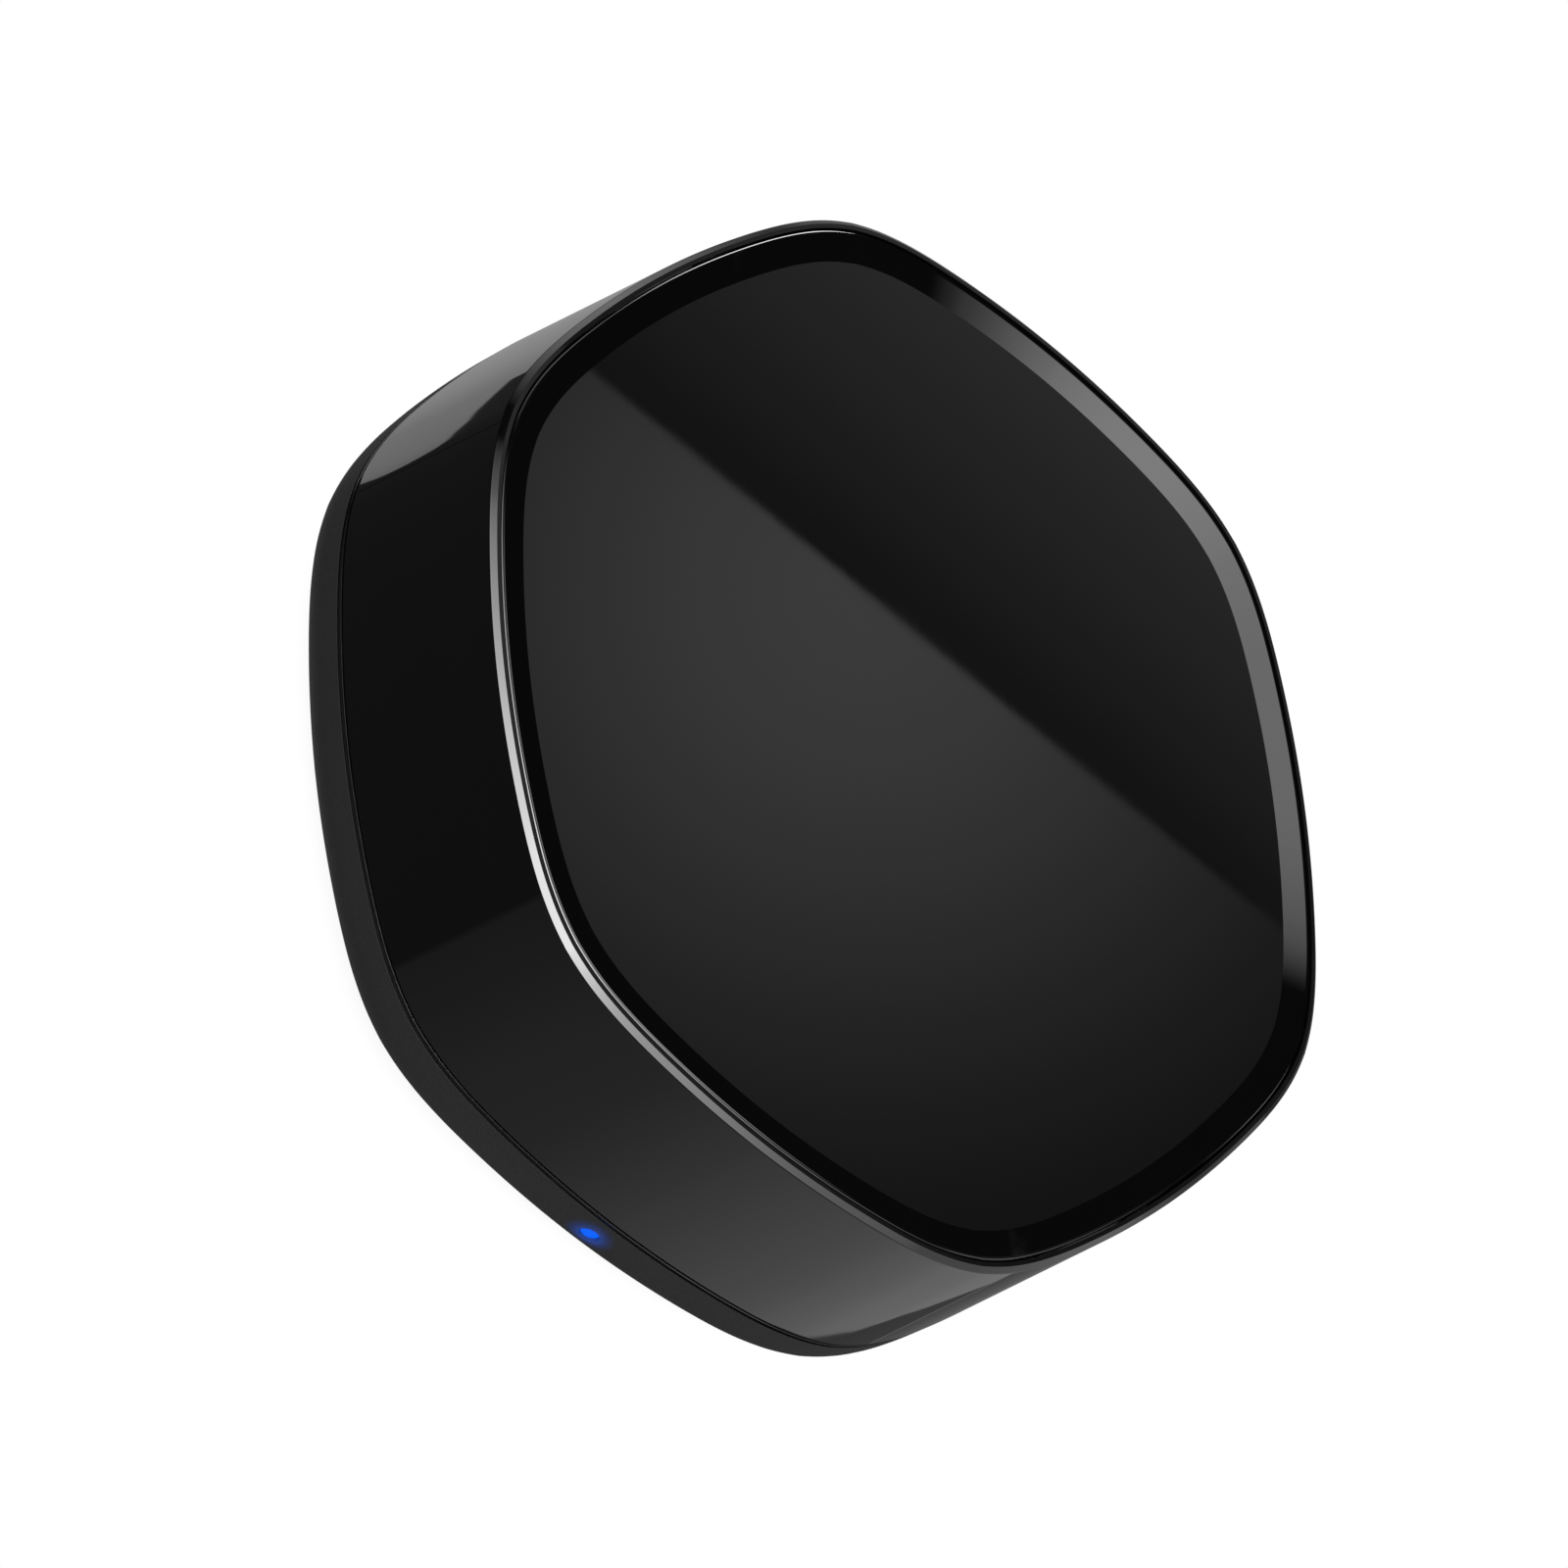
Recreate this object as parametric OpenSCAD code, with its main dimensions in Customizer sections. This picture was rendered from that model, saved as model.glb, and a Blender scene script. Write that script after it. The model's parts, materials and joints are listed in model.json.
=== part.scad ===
// Smart-home infrared hub: a rounded-hexagon puck that stands on a rubber ring.
// A glossy top panel and side shell sit on a matt base tray. Inside are the main
// board, a ring of infrared emitters, a receiver, a radio module and a power inlet.
// +Z is up, the status light is at the front (-Y), the inlet at the back (+Y), and
// the origin is on the standing plane, below the centre of the body.

/* [Outline] */
// Width across opposite flat sides, at the parting line
across_flats = 66; // [60:0.5:90]
// How much further a corner reaches out than a flat side
corner_bulge = 1.65; // [0.8:0.05:3]
// How much further the curve's shoulder points stand out than a flat side
shoulder_bulge = 0.75; // [0.4:0.05:1.2]

/* [Heights] */
// How far the rubber ring stands proud of the underside
foot_proud = 0.9; // [0.4:0.1:2]
// Base tray, from its underside to the parting line
base_height = 6.1; // [5.9:0.1:8]
// Side shell, from the parting line to the crest
shell_height = 14.5; // [13.5:0.1:20]

/* [Side shell] */
// Wall of the side shell at the parting line
shell_wall = 2.2; // [1.9:0.1:2.6]
// How far the wall leans in between the parting line and the crest
shell_draft = 0.55; // [0.2:0.05:1]
// Width of the bevel at the top of the shell, seen from above
bevel_width = 0.57; // [0.3:0.01:1]
// Height of that bevel
bevel_height = 0.5; // [0.3:0.01:1]
// Width of the flat land between the bevel and the panel
shell_land = 0.05; // [0.03:0.01:0.3]
// Width of the ledge that the panel is taped to
ledge_width = 3.2; // [2.5:0.1:4]
// Thickness of that ledge
ledge_thick = 1.5; // [1:0.1:2]

/* [Top panel] */
// Thickness of the panel at its crest
panel_thick = 1.9; // [1.5:0.1:2.5]
// Gap all round between the panel and the shell
panel_gap = 0.1; // [0.05:0.01:0.2]
// Width of the border from the panel's edge to the sunk face
border_width = 1.9; // [1:0.1:3]
// How far the flat face is sunk below the crest
face_sunk = 0.44; // [0.2:0.02:0.8]
// Thickness of the tape under the panel
tape_thick = 0.2; // [0.1:0.05:0.4]

/* [Base tray] */
// Radius of the round lower edge of the base
base_round = 4.6; // [3.5:0.1:5]
// Thickness of the floor
base_floor = 1.6; // [1.2:0.1:2]
// Wall of the base at the parting line
base_wall = 2.1; // [1.8:0.1:2.5]
// Width of the shadow gap at the parting line
parting_gap = 0.24; // [0.15:0.01:0.4]
// How far the lip of the base reaches up inside the shell
lip_height = 1.8; // [1:0.1:2.5]
// Thickness of that lip
lip_thick = 0.85; // [0.6:0.05:1]
// Depth of the groove that holds the rubber ring
foot_sunk = 0.6; // [0.4:0.1:0.8]
// Width of the rubber ring
foot_width = 5.8; // [5.2:0.1:8]

/* [Fasteners] */
// Outer diameter of the screws that hold base and shell together
screw_d = 2.5; // [2:0.1:3]
// Diameter of their heads
screw_head_d = 4.4; // [4:0.1:5]
// Length of a screw under its head
screw_length = 12; // [10:0.5:14]
// How much closer to the middle the screws are than the flat sides
screw_from_flat = 7.6; // [7:0.1:10]

/* [Board] */
// Thickness of the main board
board_thick = 1.2; // [0.8:0.1:1.6]
// Height of the board's seat above the floor of the base
board_lift = 0.7; // [0.5:0.1:1]
// Gap between the board and the wall of the base
board_gap = 0.3; // [0.2:0.05:0.6]

/* [Power inlet] */
// Width of the metal shell of the inlet
usb_width = 7.5; // [7:0.1:9]
// Height of the metal shell of the inlet
usb_height = 2.45; // [2.2:0.05:2.6]
// Depth of the metal shell of the inlet
usb_depth = 5.6; // [5:0.1:7]
// How far the inlet is sunk into the board
usb_sunk = 1.3; // [1.2:0.05:1.5]
// Clear space round the inlet in the wall
usb_clear = 0.4; // [0.3:0.05:0.5]

/* [Reset button] */
// Diameter of the button
button_d = 2.1; // [1.6:0.1:2.4]
// Gap all round the button in its hole
button_gap = 0.15; // [0.1:0.01:0.25]
// Distance of the button from the middle of the back
button_side = 10.5; // [9:0.5:13]
// How far the button stands out of the wall
button_proud = 0.35; // [0.2:0.05:0.6]
// How far the button can be pushed in
button_travel = 0.35; // [0.25:0.05:0.4]

/* [Status light] */
// Diameter of the hole for the status light
light_hole_d = 1.4; // [1:0.1:1.8]
// How far the light pipe's end is sunk in its hole
light_sunk = 0.25; // [0.1:0.05:0.5]

/* [Infrared emitters] */
// Diameter of one emitter lens
emitter_d = 5; // [4:0.1:5.4]
// Length of one emitter lens from flange to tip
emitter_length = 7.8; // [7:0.1:8.6]
// Height of the ring of emitters above the board
emitter_lift = 8; // [7:0.1:9]
// Number of emitters round the ring
emitter_count = 6; // [3:1:6]

/* [Hidden] */
$fn = 48;
e = 0.01; // small overrun of a cutting shape past the face that it cuts
half_flats = across_flats / 2;

// Heights of the main faces
underside_z = foot_proud;
floor_z = underside_z + base_floor;
parting_z = underside_z + base_height;
base_top_z = parting_z - parting_gap / 2;
shell_bottom_z = parting_z + parting_gap / 2;
crest_z = parting_z + shell_height;
lip_top_z = parting_z + lip_height;
board_z = floor_z + board_lift;
board_top_z = board_z + board_thick;
panel_z = crest_z - panel_thick;
ledge_z = panel_z - tape_thick;
cavity_top_z = ledge_z - ledge_thick;

// Insets of the main walls, measured inwards from the outline at the parting line
mouth_inset = shell_draft + bevel_width + shell_land;
window_inset = mouth_inset + ledge_width;
lip_clear = 0.15;
lip_outer_inset = base_wall - lip_thick;
rabbet_inset = lip_outer_inset - lip_clear;
seat_width = 1.1;
board_inset = base_wall + board_gap;
foot_outer_inset = base_round + 1;
foot_inner_inset = foot_outer_inset + foot_width;

// Outline: a closed cubic B-spline with 24 control points. Its corners lie on X,
// and its flat sides face the front and the back.
outline_spans = 24;
outline_steps = 3;
span_angle = 360 / outline_spans;
shoulder_control = half_flats + shoulder_bulge;
corner_control = (6 * (half_flats + corner_bulge) - 2 * shoulder_control * cos(span_angle)) / 4;
flat_control = (6 * half_flats - 2 * shoulder_control * cos(span_angle)) / 4;

function control_radius(i) =
    i % 4 == 0 ? corner_control : i % 4 == 2 ? flat_control : shoulder_control;

function control_point(i) = control_radius(i) * [cos(span_angle * i), sin(span_angle * i)];

function spline_point(i, t) = (
    pow(1 - t, 3) * control_point(i + outline_spans - 1)
    + (3 * pow(t, 3) - 6 * pow(t, 2) + 4) * control_point(i)
    + (-3 * pow(t, 3) + 3 * pow(t, 2) + 3 * t + 1) * control_point(i + 1)
    + pow(t, 3) * control_point(i + 2)) / 6;

outline_points = [for (i = [0:outline_spans - 1], s = [0:outline_steps - 1])
    spline_point(i, s / outline_steps)];

function inset_scale(inset) = 1 - inset / half_flats;

// y of the back wall at a given x, a given inset in
back_half = [for (i = [len(outline_points) / 2:-1:0]) outline_points[i]];
function back_wall(x, inset = 0) =
    inset_scale(inset) * lookup(x / inset_scale(inset), back_half);

// Distance from the centre line to a corner, a given inset in
function corner_reach(inset) = (half_flats + corner_bulge) * inset_scale(inset);

// Straight-sided solid of the outline, a given inset in, between two heights
module outline_block(inset, z_low, z_high) {
    k = inset_scale(inset);
    translate([0, 0, z_low]) linear_extrude(z_high - z_low) polygon(k * outline_points);
}

// Solid lofted through the outline at each [inset, height] of a profile. The profile
// runs up the outside. Its ends are capped, or joined to each other in a closed ring.
module loft(profile, ring = false) {
    n = len(outline_points);
    rings = len(profile);
    points = [for (r = profile, p = outline_points)
        [p.x * inset_scale(r[0]), p.y * inset_scale(r[0]), r[1]]];
    sides = [for (r = [0:rings - (ring ? 1 : 2)], i = [0:n - 1])
        let (j = (i + 1) % n, next = (r + 1) % rings)
        [r * n + i, next * n + i, next * n + j, r * n + j]];
    low_cap = [[for (i = [0:n - 1]) i]];
    high_cap = [[for (i = [0:n - 1]) (rings - 1) * n + n - 1 - i]];
    polyhedron(points, ring ? sides : concat(sides, low_cap, high_cap), convexity = 8);
}

// Quarter round between two profile points, as [inset, height] pairs
function round_edge(inset, z, radius, from, to, steps) =
    [for (s = [0:steps]) let (a = from + (to - from) * s / steps)
        [inset - radius * cos(a), z + radius * sin(a)]];

// Copies of a shape at the three corners that take the screws
screw_corners = [0, 120, 240];
screw_reach = half_flats - screw_from_flat;
module at_screws() {
    for (a = screw_corners) rotate([0, 0, a]) translate([screw_reach, 0, 0]) children();
}

// Box centred in x and y on a point, from one height to another
module block(centre, size, z_low) {
    translate([centre.x - size.x / 2, centre.y - size.y / 2, z_low]) cube(size);
}

// ---- Casing ----

shell_edge = 0.15;
// Wall of the shell with its bevelled top edge, mouth, ledge, cavity and rabbet
module shell_wall_ring() {
    rabbet_z = lip_top_z + 0.2;
    loft([
        [shell_edge, shell_bottom_z], [0, shell_bottom_z + shell_edge],
        [shell_draft, crest_z - bevel_height], [shell_draft + bevel_width, crest_z],
        [mouth_inset, crest_z], [mouth_inset, ledge_z],
        [window_inset, ledge_z], [window_inset, cavity_top_z],
        [shell_wall, cavity_top_z], [shell_wall, rabbet_z],
        [rabbet_inset, rabbet_z], [rabbet_inset, shell_bottom_z]],
        ring = true);
}

boss_d = 5.6;
boss_z = lip_top_z;
rib_thick = 1.2;
rib_depth = 2;
// A boss for a screw, with the rib that ties it to the wall
module boss() {
    reach = corner_reach(shell_wall) - screw_reach;
    translate([0, 0, boss_z]) cylinder(h = cavity_top_z - boss_z + ledge_thick / 2, d = boss_d);
    translate([0, -rib_thick / 2, boss_z + 1])
        cube([reach + shell_wall / 4, rib_thick, cavity_top_z - boss_z - 0.5]);
}

// A rib that holds the board down on its seat, at a corner without a screw
module hold_down_rib() {
    outer = corner_reach(board_inset + e);
    wall_foot_z = lip_top_z + 0.3;
    translate([outer - rib_depth, -rib_thick / 2, board_top_z])
        cube([rib_depth, rib_thick, cavity_top_z - board_top_z + ledge_thick / 2]);
    translate([outer - rib_depth, -rib_thick / 2, wall_foot_z])
        cube([rib_depth + board_inset - shell_wall + shell_wall / 4, rib_thick,
            cavity_top_z - wall_foot_z]);
}

module side_shell() color([0.03, 0.03, 0.035]) difference() {
    union() {
        shell_wall_ring();
        at_screws() boss();
        for (a = screw_corners) rotate([0, 0, a + 60]) hold_down_rib();
    }
    at_screws() translate([0, 0, boss_z - e])
        cylinder(h = head_seat_z + screw_length + 0.5 - boss_z, d = screw_d);
}

panel_edge = 0.12;
module top_panel() color([0.02, 0.02, 0.025]) {
    inset = mouth_inset + panel_gap;
    loft(concat(
        [[inset + panel_edge, panel_z], [inset, panel_z + panel_edge]],
        round_edge(inset + panel_edge, crest_z - panel_edge, panel_edge, 0, 90, 2),
        [[inset + border_width, crest_z - face_sunk]]));
}

tape_gap = 0.3;
module panel_tape() color([0.12, 0.12, 0.12]) difference() {
    outline_block(mouth_inset + tape_gap, ledge_z, panel_z);
    outline_block(window_inset - tape_gap, ledge_z - e, panel_z + e);
}

foot_gap = 0.1;
foot_top_z = underside_z + foot_sunk;
// The tray itself: groove of the rubber ring, round lower edge, wall, lip, cavity, seat
module tray() {
    top_edge = 0.15;
    seat_inset = base_wall + seat_width;
    groove_outer = foot_outer_inset - foot_gap;
    groove_inner = foot_inner_inset + foot_gap;
    loft(concat(
        [[groove_inner, underside_z], [groove_inner, foot_top_z],
            [groove_outer, foot_top_z], [groove_outer, underside_z]],
        round_edge(base_round, underside_z + base_round, base_round, -90, 0, 7),
        [[0, base_top_z - top_edge], [top_edge, base_top_z],
            [lip_outer_inset, base_top_z], [lip_outer_inset, lip_top_z],
            [base_wall, lip_top_z], [base_wall, board_z],
            [seat_inset, board_z], [seat_inset, floor_z]]));
}

// Rectangle about the origin with quarter-round corners
module rounded_rectangle(size, radius) {
    square([size.x, size.y - 2 * radius], center = true);
    square([size.x - 2 * radius, size.y], center = true);
    for (x = [-1, 1], y = [-1, 1])
        translate([x * (size.x / 2 - radius), y * (size.y / 2 - radius)]) circle(r = radius);
}

opening_corner = 0.8;
led_size = [1.6, 0.9, 1.1];
post_d = 6.4;
head_seat_z = floor_z + 0.7;
head_clear = 0.2;
shaft_clear = 0.15;
usb_z = board_top_z - usb_sunk;
usb_mid_z = usb_z + usb_height / 2;
usb_front_y = half_flats - 0.6;
button_z = board_top_z + 0.75;
light_z = board_top_z + led_size.z / 2;
label_d = 30;
label_thick = 0.1;
label_gap = 0.2;

module base_tray() color([0.16, 0.16, 0.16]) difference() {
    union() {
        tray();
        at_screws() translate([0, 0, floor_z - base_floor / 4])
            cylinder(h = boss_z - floor_z + base_floor / 4, d = post_d);
    }
    // holes and head recesses of the screws
    at_screws() {
        translate([0, 0, underside_z - e]) cylinder(h = head_seat_z - underside_z + e,
            d = screw_head_d + 2 * head_clear);
        translate([0, 0, underside_z]) cylinder(h = boss_z - underside_z + e,
            d = screw_d + 2 * shaft_clear);
    }
    // opening of the power inlet
    translate([0, half_flats / 2, usb_mid_z]) rotate([-90, 0, 0]) linear_extrude(half_flats)
        rounded_rectangle([usb_width, usb_height] + 2 * [usb_clear, usb_clear], opening_corner);
    // hole of the reset button
    translate([button_side, half_flats / 2, button_z]) rotate([-90, 0, 0])
        cylinder(h = half_flats, d = button_d + 2 * button_gap);
    // hole of the status light
    translate([0, -half_flats / 2, light_z]) rotate([90, 0, 0])
        cylinder(h = half_flats, d = light_hole_d);
    // recess of the rating label
    translate([0, 0, underside_z - e]) cylinder(h = label_thick + e, d = label_d + 2 * label_gap, $fn = 96);
}

module foot_ring() color([0.09, 0.09, 0.09]) difference() {
    outline_block(foot_outer_inset, 0, foot_top_z);
    outline_block(foot_inner_inset, -e, foot_top_z + e);
}

module rating_label() color([0.75, 0.75, 0.75])
    translate([0, 0, underside_z]) cylinder(h = label_thick, d = label_d, $fn = 96);

screw_head_h = 1.6;
socket_w = 0.6;
module base_screws() color([0.45, 0.45, 0.47]) at_screws() difference() {
    union() {
        translate([0, 0, head_seat_z - screw_head_h]) cylinder(h = screw_head_h, d = screw_head_d);
        translate([0, 0, head_seat_z - e]) cylinder(h = screw_length - 1.2, d = screw_d - 0.06);
        translate([0, 0, head_seat_z - e + screw_length - 1.2])
            cylinder(h = 1.2, d1 = screw_d - 0.06, d2 = screw_d / 2);
    }
    for (a = [0, 90]) rotate([0, 0, a])
        block([0, 0], [screw_head_d * 0.6, socket_w, screw_head_h * 0.55], head_seat_z - screw_head_h - e);
}

// ---- Main board ----

// Cutting block for a notch in the board's back edge, from a point outwards
module edge_notch(start, width) {
    block([start.x, start.y + half_flats / 2], [width, half_flats, board_thick + 2 * e],
        board_z - e);
}

module main_board() color([0.05, 0.22, 0.13]) difference() {
    outline_block(board_inset, board_z, board_top_z);
    at_screws() {
        translate([0, 0, board_z - e]) cylinder(h = board_thick + 2 * e, d = post_d + 0.6);
        block([post_d / 2 + 2, 0], [post_d + 4, post_d + 0.6, board_thick + 2 * e], board_z - e);
    }
    // cut-outs for the sunk inlet, the button's collar and the light pipe
    edge_notch([0, usb_back_y - 0.4], usb_width + 0.4);
    edge_notch([button_side, switch_front_y + 0.2], collar_d + 0.6);
    mirror([0, 1, 0]) edge_notch([0, -pipe_back_y - 0.02], light_hole_d + 1);
}

// ---- Power inlet ----

usb_metal = 0.3;
usb_back_y = usb_front_y - usb_depth;
module usb_outline(inset) {
    w = usb_width / 2 - inset;
    h = usb_height - inset;
    slope = 0.9;
    polygon([[-w + slope, inset], [w - slope, inset], [w, inset + slope], [w, h], [-w, h],
        [-w, inset + slope]]);
}

// Stamped shell, open to the back, with two feet that lie on the board
module usb_shell() color([0.75, 0.75, 0.77]) {
    difference() {
        translate([0, usb_front_y, usb_z]) rotate([90, 0, 0]) linear_extrude(usb_depth)
            usb_outline(0);
        translate([0, usb_front_y + e, usb_z]) rotate([90, 0, 0])
            linear_extrude(usb_depth - usb_metal + e) usb_outline(usb_metal);
    }
    for (s = [-1, 1])
        block([s * (usb_width / 2 + 0.6), usb_back_y + 2], [1.4, 1.6, usb_metal], board_top_z);
}

tongue_thick = 0.6;
tongue_z = usb_z + usb_height - usb_metal - 0.35 - tongue_thick;
module usb_tongue() color([0.06, 0.06, 0.06]) {
    block([0, usb_front_y - usb_depth / 2 - 0.1], [3.7, usb_depth - 1.3, tongue_thick], tongue_z);
    block([0, usb_back_y + usb_metal + 0.35], [usb_width - 2.8, 0.7, usb_height - 3 * usb_metal],
        usb_z + usb_metal * 1.5);
}

module usb_contacts() color([0.85, 0.68, 0.25])
    for (i = [-2:2])
        block([i * 0.65, usb_front_y - usb_depth / 2], [0.32, usb_depth - 2.2, 0.12],
            tongue_z - 0.12);

// ---- Reset button and its switch ----

switch_size = [4.7, 3.4, 1.6];
plunger_d = 1.1;
plunger_reach = 0.9;
cap_head_y = back_wall(button_side) + button_proud;
collar_d = button_d + 0.8;
collar_thick = 0.5;
collar_y = back_wall(button_side + collar_d / 2, base_wall) - 0.05;
cap_back_y = collar_y - collar_thick;
switch_front_y = cap_back_y - button_travel - 0.6;
switch_y = switch_front_y - switch_size.y / 2;
plunger_length = cap_back_y - switch_front_y + plunger_reach;

// Domed cap with a collar behind the wall that stops it from falling out
module reset_button() color([0.08, 0.08, 0.08]) {
    dome = 0.25;
    radius = (pow(button_d / 2, 2) + pow(dome, 2)) / (2 * dome);
    translate([button_side, 0, button_z]) rotate([-90, 0, 0]) rotate_extrude()
        polygon(concat(
            [[0, cap_back_y], [collar_d / 2, cap_back_y], [collar_d / 2, collar_y],
                [button_d / 2, collar_y]],
            [for (s = [0:6]) let (x = button_d / 2 * (1 - s / 6))
                [x, cap_head_y - radius + sqrt(pow(radius, 2) - pow(x, 2))]]));
}

module switch_plunger() color([0.55, 0.1, 0.08])
    translate([button_side, cap_back_y, button_z]) rotate([90, 0, 0])
        cylinder(h = plunger_length, d = plunger_d);

module switch_body() color([0.07, 0.07, 0.07]) difference() {
    block([button_side, switch_y], switch_size, board_top_z);
    translate([button_side, switch_front_y + e, button_z]) rotate([90, 0, 0])
        cylinder(h = plunger_reach + button_travel + 0.2, d = plunger_d + 0.2);
}

module switch_cover() color([0.8, 0.8, 0.8]) {
    cover = 0.15;
    block([button_side, switch_y], [switch_size.x, switch_size.y - 0.4, cover],
        board_top_z + switch_size.z);
    for (s = [-1, 1])
        block([button_side + s * (switch_size.x + cover) / 2, switch_y],
            [cover, 1.2, switch_size.z + cover], board_top_z);
}

// ---- Status light ----

pipe_front_y = -half_flats + light_sunk;
pipe_back_y = -half_flats + base_wall + 1.6;
module light_pipe() color([0.85, 0.9, 1, 0.7])
    translate([0, 0, light_z]) rotate([90, 0, 0]) {
        translate([0, 0, -pipe_back_y])
            cylinder(h = pipe_back_y - pipe_front_y, d = light_hole_d - 0.1);
        translate([0, 0, -pipe_back_y])
            cylinder(h = 1.2, d = light_hole_d + 0.3);
    }

module status_led() color([0.1, 0.35, 1])
    block([0, pipe_back_y + led_size.y / 2 + 0.05], led_size, board_top_z);

// ---- Infrared emitters ----

ring_z = board_top_z + emitter_lift;
flange_d = emitter_d + 0.6;
flange_thick = 1;
emitter_seat = 8.6;
lead_bend = 1.4; // how far behind the flange a lead turns down
lead_r = emitter_seat - lead_bend;
lead_pitch = 2.54;
lead_hole_d = 0.9;
holder_plate_z = ring_z - flange_d / 2 - 1.3;
holder_plate_thick = 1.1;
holder_r = emitter_seat + 4.2;
cradle_w = emitter_d + 2;
top_seat_z = ledge_z - 0.6 - emitter_length;

module at_emitters() {
    for (i = [0:emitter_count - 1]) rotate([0, 0, 30 + 360 / emitter_count * i]) children();
}

// Lens with its flange, along +Z from the flange's back
module emitter_lens() {
    rotate_extrude() polygon(concat([[0, 0], [flange_d / 2, 0], [flange_d / 2, flange_thick],
        [emitter_d / 2, flange_thick]],
        [for (s = [0:8]) let (a = 90 * s / 8)
            [emitter_d / 2 * cos(a), emitter_length - emitter_d / 2 + emitter_d / 2 * sin(a)]]));
}

// Plate on three legs, with a cradle for each emitter round it
module emitter_holder() color([0.13, 0.13, 0.14]) difference() {
    union() {
        translate([0, 0, holder_plate_z]) cylinder(h = holder_plate_thick, r = holder_r);
        at_emitters() translate([emitter_seat + flange_thick, -cradle_w / 2, holder_plate_z])
            cube([2.6, cradle_w, ring_z - holder_plate_z]);
        translate([0, 0, holder_plate_z])
            cylinder(h = top_seat_z - holder_plate_z, d = emitter_d + 2);
        for (a = [0, 120, 240]) rotate([0, 0, a]) translate([holder_r - 1.6, 0, board_top_z])
            cylinder(h = holder_plate_z - board_top_z + holder_plate_thick / 2, d = 2.4);
    }
    at_emitters() {
        translate([emitter_seat, 0, ring_z]) rotate([0, 90, 0])
            cylinder(h = 6, d = emitter_d + 0.2);
        for (s = [-1, 1]) translate([lead_r, s * lead_pitch / 2, holder_plate_z - e])
            cylinder(h = holder_plate_thick + 2 * e, d = lead_hole_d);
    }
    for (s = [-1, 1]) translate([s * lead_pitch / 2, 0, holder_plate_z - e])
        cylinder(h = top_seat_z - holder_plate_z + 2 * e, d = lead_hole_d);
}

module side_emitters() color([0.25, 0.2, 0.32])
    at_emitters() translate([emitter_seat, 0, ring_z]) rotate([0, 90, 0]) emitter_lens();

lead_w = 0.5;
// Two upright leads, side by side along Y
module lead_pair(z_top) {
    for (s = [-1, 1])
        block([0, s * lead_pitch / 2], [lead_w, lead_w, z_top - board_top_z], board_top_z);
}

// Legs that leave the flange inwards and bend down to the board
module side_emitter_leads() color([0.78, 0.78, 0.8]) at_emitters() {
    translate([lead_r, 0, 0]) lead_pair(ring_z + lead_w / 2);
    for (s = [-1, 1])
        translate([lead_r + lead_w / 2, (s * lead_pitch - lead_w) / 2, ring_z - lead_w / 2])
            cube([lead_bend - lead_w / 2, lead_w, lead_w]);
}

module top_emitter() color([0.25, 0.2, 0.32]) translate([0, 0, top_seat_z]) emitter_lens();

module top_emitter_leads() color([0.78, 0.78, 0.8]) rotate([0, 0, 90])
    lead_pair(top_seat_z);

// ---- Infrared receiver ----

receiver_size = [6, 3.9, 6.9];
receiver_y = -half_flats + 12;
receiver_z = board_top_z + 2.5;
receiver_pitch = 2.03;
lens_d = 5;
// Moulded block with a half-round lens on its front
module ir_receiver() color([0.1, 0.08, 0.1]) {
    block([0, receiver_y], receiver_size, receiver_z);
    translate([0, receiver_y - receiver_size.y / 2 + 0.3, receiver_z + 4.2])
        intersection() {
            sphere(d = lens_d);
            translate([0, -lens_d / 2, 0]) cube([lens_d + 1, lens_d, lens_d + 1], center = true);
        }
}

module receiver_leads() color([0.78, 0.78, 0.8])
    for (i = [-1:1]) block([i * receiver_pitch, receiver_y], [lead_w, lead_w, receiver_z - board_top_z],
        board_top_z);

// ---- Radio module ----

radio_centre = [-half_flats + 14, 0];
radio_size = [15, 17, 0.8];
radio_top_z = board_top_z + radio_size.z;
module radio_board() color([0.03, 0.14, 0.3]) block(radio_centre, radio_size, board_top_z);

shield_size = [10.5, 13, 2.2];
module radio_shield() color([0.78, 0.78, 0.8])
    block(radio_centre + [1.7, 0], shield_size, radio_top_z);

// Folded copper track at the outer end of the radio module
module radio_antenna() color([0.8, 0.55, 0.25]) {
    x = radio_centre.x - radio_size.x / 2 + 0.8;
    pitch = 2.2;
    track = 0.5;
    turns = 5;
    for (i = [0:turns]) translate([x, (i - turns / 2) * pitch - track / 2, radio_top_z])
        cube([2.2, track, 0.06]);
    for (i = [0:turns - 1])
        translate([i % 2 == 0 ? x : x + 2.2 - track, (i - turns / 2) * pitch, radio_top_z])
            cube([track, pitch, 0.06]);
}

// ---- Power parts and small parts ----

regulator_centre = [-5.5, half_flats - 15.5];
module voltage_regulator() color([0.06, 0.06, 0.06])
    block(regulator_centre, [6.5, 3.5, 1.5], board_top_z + 0.1);

module regulator_pins() color([0.78, 0.78, 0.8]) {
    for (i = [-1:1]) block(regulator_centre + [i * 2.3, -2.5], [0.7, 1.5, 0.2], board_top_z);
    block(regulator_centre + [0, 2.5], [3, 1.5, 0.2], board_top_z);
}

capacitor_centre = [half_flats - 15.5, 11];
module capacitor_base() color([0.08, 0.08, 0.08]) difference() {
    block(capacitor_centre, [6.6, 6.6, 0.9], board_top_z);
    for (s = [-1, 1]) translate([capacitor_centre.x + s * 3.9, capacitor_centre.y + 3.9, board_top_z - e])
        rotate([0, 0, 45]) cube([2, 2, 3], center = true);
}

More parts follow.
